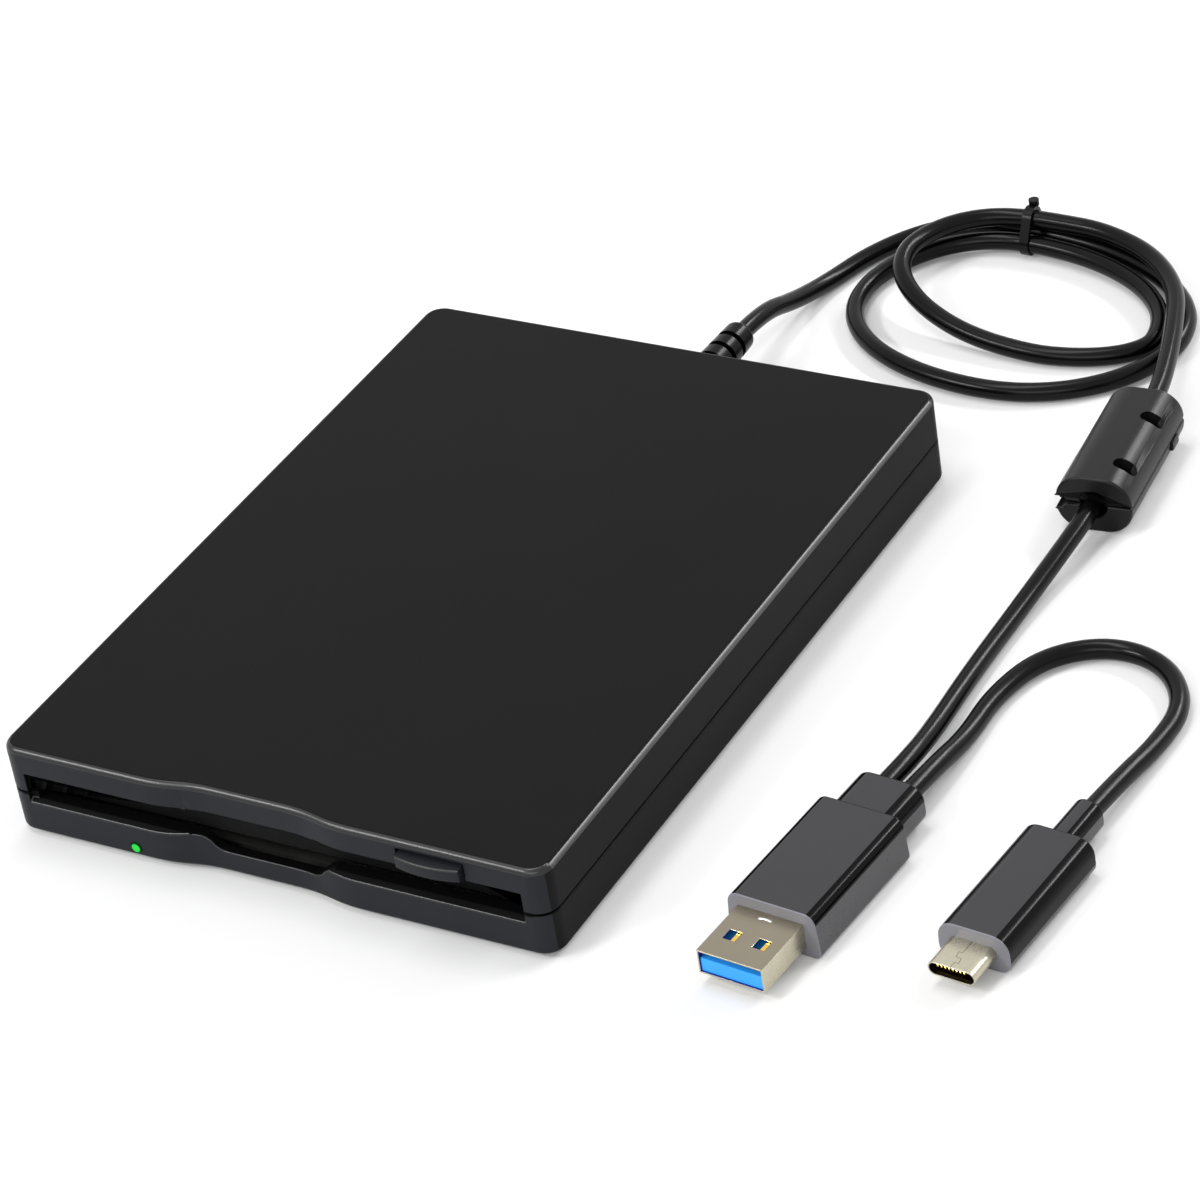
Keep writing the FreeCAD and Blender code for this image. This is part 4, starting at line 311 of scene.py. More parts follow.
# %% Metals: colour, roughness, line scale, line depth
METALS = {
    "zinc_sheet": ((190, 190, 186), 0.34, (240.0, 240.0, 240.0), 8e-6),
    "turned_steel": ((198, 197, 194), 0.24),
    "screw_steel": ((120, 120, 124), 0.35, (2500.0, 2500.0, 300.0), 3e-6),
    "bearing_brass": ((204, 172, 104), 0.3, (2500.0, 2500.0, 300.0), 3e-6),
    "coil_copper": ((200, 120, 72), 0.35, (6000.0, 6000.0, 9000.0), 1e-5),
    "shell_nickel": ((146, 138, 122), 0.3, (5000.0, 500.0, 5000.0), 4e-8),
    # Lighter sides of the wide shell: painted light.
    "shell_side_painted_light": ((196, 190, 168), 0.28, (5000.0, 500.0, 5000.0), 4e-8),
    "shell_pale": ((190, 185, 165), 0.28, (5000.0, 500.0, 5000.0), 4e-8),
    # Near-white metal for the pressed mark: a painted highlight.
    "shell_mark_painted_highlight": ((250, 248, 240), 0.3, (900.0, 900.0, 900.0), 3e-7),
    "contact_gold": ((240, 200, 100), 0.18, (5000.0, 500.0, 5000.0), 1e-6),
}

# %% Make the finishes
FINISHES = {name: plastic(name, *numbers) for name, numbers in PLASTICS.items()}
FINISHES.update({name: metal(name, *numbers) for name, numbers in METALS.items()})
print(len(FINISHES), "finishes")

# %% [markdown]
# ## The green light
# The lamp behind the front wall is on, and its green light pipe glows where it ends at the
# front. A lamp inside the pipe would light the slot too, so the plastic gives off light of
# its own, and a mask keeps that to a small disc at the pipe's front end.

# %% The glowing light pipe
LENS_MIDDLE = (-27.5, 2.6)
LENS_GLOW_RADIUS = 0.78
LENS_GLOW_FRONT = -69.6
LENS_GLOW_STRENGTH = 0.92


def glowing_lens():
    material = plastic("lens_green", (8, 70, 22), 0.25, 1200.0, 5e-7, 0.1, 0.15)
    tree = material.node_tree
    shader = tree.nodes["Principled BSDF"]
    place = tree.nodes.new("ShaderNodeTexCoord").outputs["Object"]
    ramp = tree.nodes.new("ShaderNodeValToRGB")
    ramp.color_ramp.elements[0].color = seen(20, 205, 58)
    ramp.color_ramp.elements[1].color = seen(50, 235, 84)
    tree.links.new(noise_in(tree, place, 900.0, 1.0), ramp.inputs["Fac"])
    parts = tree.nodes.new("ShaderNodeSeparateXYZ")
    tree.links.new(place, parts.inputs["Vector"])
    across = math_in(tree, "SUBTRACT", parts.outputs["X"], LENS_MIDDLE[0] * MM)
    upward = math_in(tree, "SUBTRACT", parts.outputs["Z"], LENS_MIDDLE[1] * MM)
    across_squared = math_in(tree, "MULTIPLY", across, across)
    upward_squared = math_in(tree, "MULTIPLY", upward, upward)
    reach = math_in(tree, "ADD", across_squared, upward_squared)
    in_the_middle = math_in(tree, "LESS_THAN", reach, (LENS_GLOW_RADIUS * MM) ** 2)
    at_the_front = math_in(tree, "LESS_THAN", parts.outputs["Y"], LENS_GLOW_FRONT * MM)
    glowing = math_in(tree, "MULTIPLY", in_the_middle, at_the_front)
    shade = tree.nodes.new("ShaderNodeMix")
    shade.data_type = "RGBA"
    shade.inputs["A"].default_value = (0, 0, 0, 1)
    tree.links.new(glowing, shade.inputs["Factor"])
    tree.links.new(ramp.outputs["Color"], shade.inputs["B"])
    tree.links.new(shade.outputs["Result"], shader.inputs["Emission Color"])
    shader.inputs["Emission Strength"].default_value = LENS_GLOW_STRENGTH
    return material


FINISHES["lens_green"] = glowing_lens()
print("the light glows within", LENS_GLOW_RADIUS, "mm of its middle")

# %% [markdown]
# ## Dressing the solids
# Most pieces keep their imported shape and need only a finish. A table from each finish to its
# pieces is quicker to read and to change than a line for every piece, and the count at the end
# shows whether a node was missed.

# %% Give every node its finish
FINISH_OF = {
    "cover_black": ["top_cover"],
    "cover_slate": ["bottom_cover"],
    "button_slate": ["eject_button"],
    "flap_black": ["dust_flap", "led_board"],
    "pad_rubber": ["rubber_pads"],
    "relief_rubber": ["strain_relief"],
    "lens_green": ["led_lens"],
    "chip_black": ["circuit_chips", "disk_switches", "rotor_magnet"],
    "connector_white": ["cable_header", "write_switch_pin", "density_switch_pin", "disk_switch_pin"],
    "wire_red": ["cable_wires"],
    "ribbon_grey": ["ribbon_cable"],
    "carriage_black": ["head_carriage", "upper_arm"],
    "board_green": ["motor_board", "logic_board", "main_board"],
    "head_ceramic": ["lower_head", "upper_head"],
    "core_grey_painted_glint": ["bead_core_lower", "bead_core_upper"],
    "bead_black": ["bead_case_lower", "bead_case_upper"],
    "tie_black": ["cable_tie"],
    "zinc_sheet": ["drive_chassis", "top_shield", "disk_holder", "screw_bracket", "rod_clamps",
                   "stepper_motor"],
    "turned_steel": ["eject_slide", "eject_springs", "shutter_lever", "lever_rivet", "spindle_shaft",
                     "lead_screw", "guide_rod", "arm_pin", "hub_plate", "rotor_plate"],
    "screw_steel": ["case_screws", "mechanism_screws"],
    "bearing_brass": ["spindle_bearing"],
    "coil_copper": ["stator_coils"],
    "shell_nickel": ["plug_a_shell"],
    "shell_pale": ["plug_c_shell"],
    "tongue_blue": ["plug_a_insert"],
    "contact_gold": ["plug_a_contacts", "plug_c_contacts"],
    "plug_grey": ["plug_a_body", "plug_c_body"],
    "cord_black": ["cord_lead", "cord_coil", "cord_run", "cord_pigtail"],
}
dressed = 0
for finish, names in FINISH_OF.items():
    for name in names:
        for material_slot in nodes[name].material_slots:
            material_slot.material = FINISHES[finish]
        dressed += 1
print("dressed", dressed, "of", len(nodes), "nodes")

# %% [markdown]
# ## The cords
# The main cord leaves the strain relief behind the drive, makes two loose turns under a tie,
# lies over itself, passes through the bead and ends in the wide plug. A shorter cord leaves
# the same plug and ends in the narrow one. Each is a single curve: a NURBS spline of order 3
# rounds every corner of its route by itself, so the route only needs listed points. The
# turns are quarter ovals between their outermost points, each cut into four steps.

# %% Routes of the cords, in millimetres
CORD_DIAMETER = 3.5
FLOOR_LINE = CORD_DIAMETER / 2 + 0.05
TIED_LINE = FLOOR_LINE + 0.75
TOP_LINE = TIED_LINE + 3.9
RELIEF_END = (1.5, 90.0, 8.85)
LEAD_POINTS = [RELIEF_END, (1.5, 99.0, 8.4), (1.8, 109.5, 4.2), (3.0, 120.5, FLOOR_LINE),
               (6.2, 132.0, FLOOR_LINE), (12.5, 142.4, FLOOR_LINE), (22.0, 147.6, TIED_LINE),
               (30.0, 147.6, TIED_LINE)]
COIL_END = (40.0, 145.6, TOP_LINE)
RUN_POINTS = [COIL_END, (49.5, 145.3, 6.3), (61.0, 140.6, 6.1), (70.4, 130.6, 6.1), (75.2, 118.0, 6.1),
              (78.6, 106.6, 5.8), (80.67, 97.2, 5.4), (82.28, 80.2, 5.4), (84.0, 62.0, 5.4),
              (83.4, 50.5, 4.0), (82.2, 34.0, 1.9), (82.2, 16.0, FLOOR_LINE), (83.4, -1.0, 2.5),
              (84.03, -10.7, 3.9), (83.26, -19.8, 4.2)]
PIGTAIL_POINTS = [(87.94, -20.2, 4.2), (88.6, -11.0, 3.7), (89.0, 0.0, FLOOR_LINE),
                  (88.4, 12.0, FLOOR_LINE), (91.6, 24.0, FLOOR_LINE), (101.0, 30.6, FLOOR_LINE),
                  (112.0, 28.6, FLOOR_LINE), (119.2, 19.0, FLOOR_LINE), (119.0, 7.5, FLOOR_LINE),
                  (117.7, -3.6, 2.9), (116.9, -13.2, 3.4)]
COIL_CORNERS = [(33.5, 147.6, TIED_LINE), (75.6, 121.0, FLOOR_LINE), (47.0, 95.2, FLOOR_LINE),
                (10.4, 120.0, FLOOR_LINE), (33.5, 143.5, TIED_LINE), (70.8, 119.5, FLOOR_LINE),
                (50.0, 108.8, FLOOR_LINE), (16.4, 127.5, 7.0), (33.4, 145.6, TOP_LINE)]
QUARTER_STEPS = 4


def coil_points():
    """Quarter ovals from corner to corner; every other one starts along X, the rest along Y."""
    points = []
    for i in range(len(COIL_CORNERS) - 1):
        start, end = COIL_CORNERS[i], COIL_CORNERS[i + 1]
        for k in range(QUARTER_STEPS):
            share = k / QUARTER_STEPS
            s, c = math.sin(share * math.pi / 2), math.cos(share * math.pi / 2)
            if i % 2 == 0:
                x = start[0] + (end[0] - start[0]) * s
                y = end[1] + (start[1] - end[1]) * c
            else:
                x = end[0] + (start[0] - end[0]) * c
                y = start[1] + (end[1] - start[1]) * s
            rise = (1 - math.cos(share * math.pi)) / 2
            points.append((x, y, start[2] + (end[2] - start[2]) * rise))
    points.append(COIL_CORNERS[-1])
    return points


print("coil of", len(coil_points()), "points between", COIL_CORNERS[0], "and", COIL_CORNERS[-1])

# %% [markdown]
# ### One curve for each cord
# A jacket is a round tube of one thickness. It could be swept as a mesh, but a curve with a
# round bevel stays smooth and can be changed point by point. Its order and its end points are
# set after the points are there, since a shorter spline can't take them.


# %% Make each cord as one smooth curve
def cord_curve(name, points_mm, finish):
    curve = bpy.data.curves.new(name, "CURVE")
    curve.dimensions = "3D"
    curve.resolution_u = 8
    curve.bevel_depth = CORD_DIAMETER / 2 * MM
    curve.bevel_resolution = 5
    curve.use_fill_caps = True
    spline = curve.splines.new("NURBS")
    spline.points.add(len(points_mm) - 1)
    for point, place in zip(spline.points, points_mm):
        point.co = (place[0] * MM, place[1] * MM, place[2] * MM, 1.0)
    spline.order_u = 3
    spline.use_endpoint_u = True
    curve.materials.append(FINISHES[finish])
    piece = new_object(name, curve)
    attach(piece, "drive")
    return piece


main_cord = cord_curve("main_cord", LEAD_POINTS + coil_points() + RUN_POINTS, "cord_black")
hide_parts("cord_lead", "cord_coil", "cord_run")
pigtail = cord_curve("pigtail", PIGTAIL_POINTS, "cord_black")
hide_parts("cord_pigtail")
print("cords:", main_cord.name, len(main_cord.data.splines[0].points), "points and", pigtail.name)

# %% [markdown]
# ## Softened edges
# Moulded parts never have knife edges: each edge is rounded by a tenth of a millimetre or two,
# and that narrow band is what catches the light along the slot, the scoop and the parting
# line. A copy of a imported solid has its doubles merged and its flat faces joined, and then its
# outer edges are bevelled. Weighted normals keep the broad faces flat.

# %% Helpers for pieces made with bmesh
MERGE_DISTANCE = 2e-6
FLAT_ANGLE = math.radians(0.3)
SHARP_ANGLE = math.radians(35)


def finished_piece(name, bm, finishes, body="drive"):
    """Object at the origin with the mesh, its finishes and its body."""
    mesh = bpy.data.meshes.new(name)
    bm.to_mesh(mesh)
    bm.free()
    mesh.shade_smooth()
    mesh.set_sharp_from_angle(angle=SHARP_ANGLE)
    for finish in finishes:
        mesh.materials.append(FINISHES[finish])
    piece = new_object(name, mesh)
    weighted = piece.modifiers.new("even normals", "WEIGHTED_NORMAL")
    weighted.keep_sharp = True
    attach(piece, body)
    print(name, len(mesh.polygons), "faces")
    return piece


def bevel_edges(bm, edges, width, segments=2):
    """Rounds the edges and gives back the faces of the new band."""
    return bmesh.ops.bevel(bm, geom=edges, offset=width, offset_type="OFFSET", segments=segments, profile=0.5,
                           affect="EDGES", material=-1)["faces"]


def merged_copy(node_name):
    """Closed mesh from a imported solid, with flat regions joined into single faces."""
    bm = bmesh.new()
    bm.from_mesh(nodes[node_name].data)
    bmesh.ops.remove_doubles(bm, verts=bm.verts, dist=MERGE_DISTANCE)
    bmesh.ops.dissolve_limit(bm, angle_limit=FLAT_ANGLE, verts=bm.verts, edges=bm.edges)
    for face in bm.faces:
        face.material_index = 0
    return bm


def sharp_edges(bm, choose, least_angle=50.0):
    """Edges between two faces at a sharp angle, whose ends are both in the chosen place."""
    found = []
    for edge in bm.edges:
        if len(edge.link_faces) == 2 and edge.calc_face_angle() > math.radians(least_angle):
            if all(choose(v.co / MM) for v in edge.verts):
                found.append(edge)
    return found


def to_metres(bm, verts):
    """Turns places in millimetres into metres."""
    bmesh.ops.scale(bm, vec=Vector((MM, MM, MM)), verts=verts)


def give_finish(face, finishes, finish):
    """Points a face at one of its piece's finishes by name."""
    face.material_index = finishes.index(finish)


# %% [markdown]
# ### The two covers
# Each cover is one moulding, yet the light shows it in parts: satin top, slate front, sides made
# lighter as painted light, polished outer edges whose long upper ones are made lighter as a painted
# highlight, and a slot painted near-black as painted shade. Separate pieces would leave gaps between
# them, so every face of the softened copy takes its finish from where it lies and the way it looks.
# A normal's part along an axis is 1 when the face looks straight that way.

# %% Covers with softened outer edges
CASE_HALF_WIDTH = 52.0
CASE_HALF_DEPTH = 71.0
FRONT_WALL = 3.2
EDGE_LOW = 14.5
SCOOP_LOW = 4.8
SLOT_LOW = 6.8
LIP_HIGH = 7.6
SLOT_HIGH = 12.8
SLOT_HALF_WIDTH = 49.0
COVER_SOFTENING = 0.22
COVER_FINISHES = ["cover_black", "cover_slate", "cover_side_painted_light", "cover_edge", "slot_painted_shade",
                  "cover_long_edge_painted_highlight"]


def on_the_outside(p):
    """Whether a place in millimetres is in the front wall or close to another outer wall."""
    in_front_wall = p.y < -CASE_HALF_DEPTH + FRONT_WALL - 0.1
    return in_front_wall or abs(p.x) > CASE_HALF_WIDTH - 0.5 or p.y > CASE_HALF_DEPTH - 0.5


def sort_cover_finishes(bm, bevelled):
    """Satin top, slate front, sides with painted light, polished edges, long upper edges with a painted
    highlight and a slot with painted shade, by direction.
    """
    bm.normal_update()
    for face in bm.faces:
        n = face.normal
        c = face.calc_center_median() / MM
        heights = [v.co.z / MM for v in face.verts]
        lowest = SLOT_LOW if n.y < -0.5 else SCOOP_LOW
        in_front_wall = c.y < -CASE_HALF_DEPTH + FRONT_WALL
        by_the_slot = in_front_wall and abs(c.x) < SLOT_HALF_WIDTH
        in_slot = by_the_slot and min(heights) > lowest and max(heights) < SLOT_HIGH
        front_lip = by_the_slot and face in bevelled and n.y < -0.2 and n.z > 0.2 and c.z < LIP_HIGH
        upper_edge = on_the_outside(c) and 0.2 < n.z < 0.96 and c.z > EDGE_LOW
        # The long upper edges take a painted highlight, the slot painted shade and the sides painted light.
        if upper_edge and abs(n.x) > 0.2 and abs(n.y) < 0.15:
            give_finish(face, COVER_FINISHES, "cover_long_edge_painted_highlight")
        elif front_lip or upper_edge:
            give_finish(face, COVER_FINISHES, "cover_edge")
        elif in_slot:
            give_finish(face, COVER_FINISHES, "slot_painted_shade")
        elif in_front_wall and n.y < -0.5:
            give_finish(face, COVER_FINISHES, "cover_slate")
        elif abs(n.x) > 0.5 or abs(n.y) > 0.5:
            give_finish(face, COVER_FINISHES, "cover_side_painted_light")


def softened_cover(node_name):
    bm = merged_copy(node_name)
    bevelled = bevel_edges(bm, sharp_edges(bm, on_the_outside), COVER_SOFTENING * MM)
    sort_cover_finishes(bm, set(bevelled))
    piece = finished_piece(node_name + "_soft", bm, COVER_FINISHES)
    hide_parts(node_name)


softened_cover("top_cover")
softened_cover("bottom_cover")

# %% [markdown]
# ### The eject button
# The button stands out of the front wall, and its upper edge catches the light. Only the edges
# that stand outside are rounded, so that the rest still fits its opening, and the upper part
# of the rounding is polished like the covers' edges.

# %% Button with softened edges
BUTTON_SOFTENING = 0.3
BUTTON_FINISHES = ["button_slate", "cover_edge"]


def stands_outside(p):
    return p.y < -CASE_HALF_DEPTH + 0.5


bm = merged_copy("eject_button")
for face in bevel_edges(bm, sharp_edges(bm, stands_outside), BUTTON_SOFTENING * MM, 3):
    face.normal_update()
    if face.normal.z > 0.2:
        give_finish(face, BUTTON_FINISHES, "cover_edge")
button = finished_piece("eject_button_soft", bm, BUTTON_FINISHES, "eject")
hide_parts("eject_button")

# %% [markdown]
# ## The bead
# The bead's case snaps round the cord in two halves. Its ends have well rounded rims, and a
# small latch stands out at the right, near the rear. The case's halves are softened copies;
# the latch is a block with rounded edges, sunk a little into the lower half.

# %% Where the bead lies
BEAD_CENTRE = (82.56, 77.19)
BEAD_YAW = math.radians(5.4)
BEAD_LENGTH = 29.5
BEAD_WIDTH = 13.8
BEAD_HEIGHT = 10.8
BEAD_SOFTENING = 0.45
bead_place = Matrix.Translation((BEAD_CENTRE[0], BEAD_CENTRE[1], 0)) @ Matrix.Rotation(BEAD_YAW, 4, "Z")
bead_from_world = bead_place.inverted()
print("bead at", BEAD_CENTRE, "turned", round(math.degrees(BEAD_YAW), 1), "degrees")


def on_bead_rim(p):
    local = bead_from_world @ p
    return abs(abs(local.y) - BEAD_LENGTH / 2) < 0.05


def softened_bead(node_name, body):
    bm = merged_copy(node_name)
    bevel_edges(bm, sharp_edges(bm, on_bead_rim, 60.0), BEAD_SOFTENING * MM, 3)
    piece = finished_piece(node_name + "_soft", bm, ["bead_black"], body)
    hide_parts(node_name)
    return piece


# %% Helper for a small block with rounded edges
def placed_block(bm, size, centre, place, width, segments=2):
    """Block with all its edges rounded, put to its place in the mesh, in metres."""
    made = bmesh.ops.create_cube(bm, size=1.0)["verts"]
    bmesh.ops.scale(bm, vec=Vector(size), verts=made)
    bmesh.ops.translate(bm, vec=Vector(centre), verts=made)
    edges = list({e for v in made for e in v.link_edges})
    band = bevel_edges(bm, edges, width, segments)
    every = list({v for f in band for v in f.verts} | {v for v in made if v.is_valid})
    bmesh.ops.transform(bm, matrix=place, verts=every)
    to_metres(bm, every)


# %% Bead halves and latch
LATCH_SIZE = (1.3, 3.4, 1.8)
LATCH_MIDDLE = (BEAD_WIDTH / 2 - 0.2, 8.4, BEAD_HEIGHT / 2 - 1.1)

bead_lower = softened_bead("bead_case_lower", "drive")
bead_upper = softened_bead("bead_case_upper", "bead_lid")
bm = bmesh.new()
placed_block(bm, LATCH_SIZE, LATCH_MIDDLE, bead_place, 0.3)
bead_latch = finished_piece("bead_latch", bm, ["tie_black"])

# %% [markdown]
# ## The plugs' overmoulds
# Each plug's body is dark plastic round a metal shell. The top is a satin flat, the two upper
# edges are broad polished bands painted near-black as a painted reflection, the sides lean out a
# little towards the table and are made lighter as painted light, and the front face is a paler
# plate. A cube is stretched to size and its upper face drawn in; its long edges get a wide bevel
# and its ends a narrow one. Faces then take one of four finishes by the way they look.

# %% Where a plug lies and what it wears
PLUG_YAW = math.radians(-5.0)
PLUG_FINISHES = ["plug_grey", "plug_band_painted_dark_reflection", "plug_side_painted_light", "plug_rim"]


def plug_place(rear):
    return Matrix.Translation((rear[0], rear[1], 0)) @ Matrix.Rotation(PLUG_YAW, 4, "Z")


# %% Helper for a moulded block
def moulded_block(bm, size, centre, top_share, upper_radius, lower_radius, end_radius):
    """Box along Y with a narrower top, wide upper bands, rounded lower edges and crisp ends."""
    made = bmesh.ops.create_cube(bm, size=1.0)["verts"]
    bmesh.ops.scale(bm, vec=Vector((top_share, 1, 1)), verts=[v for v in made if v.co.z > 0])
    bmesh.ops.scale(bm, vec=Vector(size), verts=made)
    bmesh.ops.translate(bm, vec=Vector(centre), verts=made)
    middle = Vector(centre)

    def long_edges(upper):
        return [e for e in bm.edges if abs((e.verts[0].co - e.verts[1].co).normalized().y) > 0.99
                and all((v.co.z > middle.z) == upper for v in e.verts)
                and all(abs(v.co.y - middle.y) > size[1] * 0.49 for v in e.verts)
                and all(abs(v.co.x - middle.x) <= size[0] * 0.51 for v in e.verts)]

    bevel_edges(bm, long_edges(True), upper_radius, 6)
    lower = [e for e in long_edges(False) if e.calc_face_angle() > math.radians(60)]
    bevel_edges(bm, lower, lower_radius, 5)
    low, high = middle.y - size[1] / 2, middle.y + size[1] / 2
    ends = [e for e in bm.edges if any(all(abs(v.co.y - y) < 1e-4 for v in e.verts) for y in (low, high))]
    bevel_edges(bm, ends, end_radius, 2)


# %% Helper that gives a plug's faces their finishes
def sort_plug_finishes(bm, front_y, band_z):
    """Front plate, polished bands with a painted dark reflection, leaning sides with painted light and satin
    flats, told by each face's direction.
    """
    for face in bm.faces:
        n = face.normal
        c = face.calc_center_median()
        if n.y < -0.25 and abs(c.y - front_y) < 0.5:
            give_finish(face, PLUG_FINISHES, "plug_rim")
        elif n.z > 0.985 or abs(n.y) > 0.8:
            give_finish(face, PLUG_FINISHES, "plug_grey")
        # Upper bands take a painted dark reflection, and the sides painted light.
        elif c.z > band_z:
            give_finish(face, PLUG_FINISHES, "plug_band_painted_dark_reflection")
        elif abs(n.x) > 0.6:
            give_finish(face, PLUG_FINISHES, "plug_side_painted_light")


# %% Helper for one overmould, body and neck
def overmould(name, rear, neck, body, shape, band_z):
    bm = bmesh.new()
    front_y = -neck[1] - body[1]
    moulded_block(bm, body, (0, -neck[1] - body[1] / 2, body[2] / 2), *shape)
    bmesh.ops.recalc_face_normals(bm, faces=bm.faces)
    sort_plug_finishes(bm, front_y, band_z)
    other = bmesh.new()
    moulded_block(other, (neck[0], neck[1] + 1, neck[2]), (0, -neck[1] / 2 - 0.5, body[2] / 2), 0.96,
                  neck[2] * 0.4, neck[2] * 0.3, 0.4)
    bmesh.ops.recalc_face_normals(other, faces=other.faces)
    sort_plug_finishes(other, front_y, body[2] / 2 + neck[2] * 0.1)
    spare = bpy.data.meshes.new("neck")
    other.to_mesh(spare)
    other.free()
    bm.from_mesh(spare)
    bpy.data.meshes.remove(spare)
    bmesh.ops.transform(bm, matrix=plug_place(rear), verts=bm.verts)
    to_metres(bm, bm.verts)
    return finished_piece(name, bm, PLUG_FINISHES)


# %% Both overmoulds: a shape is the top's share of the width, then upper, lower and end radius
PLUG_A_REAR = (85.6, -20.0)
PLUG_A_NECK = (12.8, 9.0, 7.0)
PLUG_A_BODY = (17.0, 27.0, 8.4)
PLUG_A_SHAPE = (0.93, 1.9, 1.3, 0.3)
PLUG_A_BAND = 5.4
PLUG_C_REAR = (116.9, -13.2)
PLUG_C_NECK = (5.2, 9.5, 5.2)
PLUG_C_BODY = (12.8, 27.0, 6.8)
PLUG_C_SHAPE = (0.98, 2.9, 2.2, 0.3)
PLUG_C_BAND = 2.8

plug_a = overmould("plug_a_overmould", PLUG_A_REAR, PLUG_A_NECK, PLUG_A_BODY, PLUG_A_SHAPE, PLUG_A_BAND)
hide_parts("plug_a_body")
plug_c = overmould("plug_c_overmould", PLUG_C_REAR, PLUG_C_NECK, PLUG_C_BODY, PLUG_C_SHAPE, PLUG_C_BAND)
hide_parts("plug_c_body")

# %% [markdown]
# ## The metal shells
# A shell is folded from thin sheet. In this light its top is darker than its sides, and its
# inside is darker still, so the wide one's sides take a lighter copy of its metal as painted light
# and the inner faces take painted shade: navy behind the wide one's windows and black in the narrow
# one. New shells could be built, but the imported ones already have the right windows, so softened
# copies serve. A face is an inner one if it looks towards the shell's middle line.

# %% Shells as softened copies with painted shade inside and painted light on the wide one's sides
SHELL_SOFTENING = 0.07
SHELL_SIDE = 1
SHELL_SHADED_INSIDE = 2


def softened_shell(node_name, rear, body_height, finishes):
    bm = merged_copy(node_name)
    from_world = plug_place(rear).inverted()
    turn_back = from_world.to_3x3()
    bevel_edges(bm, sharp_edges(bm, lambda p: True, 70.0), SHELL_SOFTENING * MM)
    bm.normal_update()
    for face in bm.faces:
        c = from_world @ (face.calc_center_median() / MM)
        n = turn_back @ face.normal
        # Inner faces take painted shade, and on the wide shell the sides take painted light.
        if n.x * c.x + n.z * (c.z - body_height / 2) < -0.02 and abs(n.y) < 0.9:
            face.material_index = SHELL_SHADED_INSIDE
        elif face.normal.z < 0.7:
            face.material_index = SHELL_SIDE
    piece = finished_piece(node_name + "_soft", bm, finishes)
    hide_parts(node_name)
    return piece


shell_a = softened_shell("plug_a_shell", PLUG_A_REAR, PLUG_A_BODY[2],
                         ["shell_nickel", "shell_side_painted_light", "window_navy_painted_shade"])
shell_c = softened_shell("plug_c_shell", PLUG_C_REAR, PLUG_C_BODY[2],
                         ["shell_pale", "shell_pale", "seam_black_and_painted_shade"])

# %% [markdown]
# ### What fills the wide mouth
# A thick blue tongue fills the lower two thirds of the wide shell, and a sprung gold leaf lies
# under each window. One rounded block for the tongue and two for the leaves are enough,
# because only their upper faces and front edges show.

# %% Blue tongue and gold leaves
PLUG_A_SHELL_LENGTH = 12.0
PLUG_A_SHELL_HEIGHT = 4.5
PLUG_A_TIP = -PLUG_A_NECK[1] - PLUG_A_BODY[1] - PLUG_A_SHELL_LENGTH
TONGUE_SIZE = (11.35, 14.0, 2.6)
LEAF_SIZE = (0.75, 3.4, 0.2)
LEAF_PLACES = (-2.25, 3.15)
tongue_low = PLUG_A_BODY[2] / 2 - PLUG_A_SHELL_HEIGHT / 2 + 0.3
shell_a_top = PLUG_A_BODY[2] / 2 + PLUG_A_SHELL_HEIGHT / 2

bm = bmesh.new()
placed_block(bm, TONGUE_SIZE, (0, PLUG_A_TIP + 7.3, tongue_low + TONGUE_SIZE[2] / 2),
             plug_place(PLUG_A_REAR), 0.12)
blue_tongue = finished_piece("plug_a_tongue", bm, ["tongue_blue"])
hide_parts("plug_a_insert")

bm = bmesh.new()
for leaf_place in LEAF_PLACES:
    leaf_middle = (leaf_place, PLUG_A_TIP + 5.2, shell_a_top - 0.5)
    placed_block(bm, LEAF_SIZE, leaf_middle, plug_place(PLUG_A_REAR), 0.05)
leaves = finished_piece("plug_a_leaves", bm, ["contact_gold"])

# %% [markdown]
# ### The pressed mark
# A small curved mark is pressed into the top of the wide shell, near the overmould. It is a few
# tenths of a millimetre wide, so a short arc spun from a small circle and flattened looks the
# same as a real dent and leaves the shell's mesh simple. Its near-white metal is a painted
# highlight, for the light that the dent catches.

# %% Pressed mark of the wide plug
MARK_RADIUS = 2.4
MARK_THICKNESS = 0.22
MARK_HALF_ANGLE = math.radians(24)

bm = bmesh.new()
made = bmesh.ops.create_circle(bm, cap_ends=False, radius=MARK_THICKNESS, segments=8,
                               matrix=Matrix.Translation((0, MARK_RADIUS, 0))
                               @ Matrix.Rotation(math.pi / 2, 4, "Y"))
bmesh.ops.rotate(bm, verts=made["verts"], cent=(0, 0, 0), matrix=Matrix.Rotation(MARK_HALF_ANGLE, 3, "Z"))
bmesh.ops.spin(bm, geom=bm.verts[:] + bm.edges[:], cent=(0, 0, 0), axis=(0, 0, 1),
               angle=-2 * MARK_HALF_ANGLE, steps=10, use_merge=False)
bmesh.ops.holes_fill(bm, edges=[e for e in bm.edges if e.is_boundary])
bmesh.ops.scale(bm, vec=Vector((1.2, 1, 0.5)), verts=bm.verts)
mark_place = Matrix.Translation((0, PLUG_A_TIP + 8.3, shell_a_top))
bmesh.ops.transform(bm, matrix=plug_place(PLUG_A_REAR) @ mark_place, verts=bm.verts)
to_metres(bm, bm.verts)
bmesh.ops.recalc_face_normals(bm, faces=bm.faces)
mark = finished_piece("plug_a_pressed_mark", bm, ["shell_mark_painted_highlight"])

# %% [markdown]
# ### The narrow plug's seam
# The narrow shell is rolled from one sheet, whose ends lock into each other along a stepped
# line. A groove that fine would need many small cuts, so a thin dark strip lies on the shell
# for each step of the line.

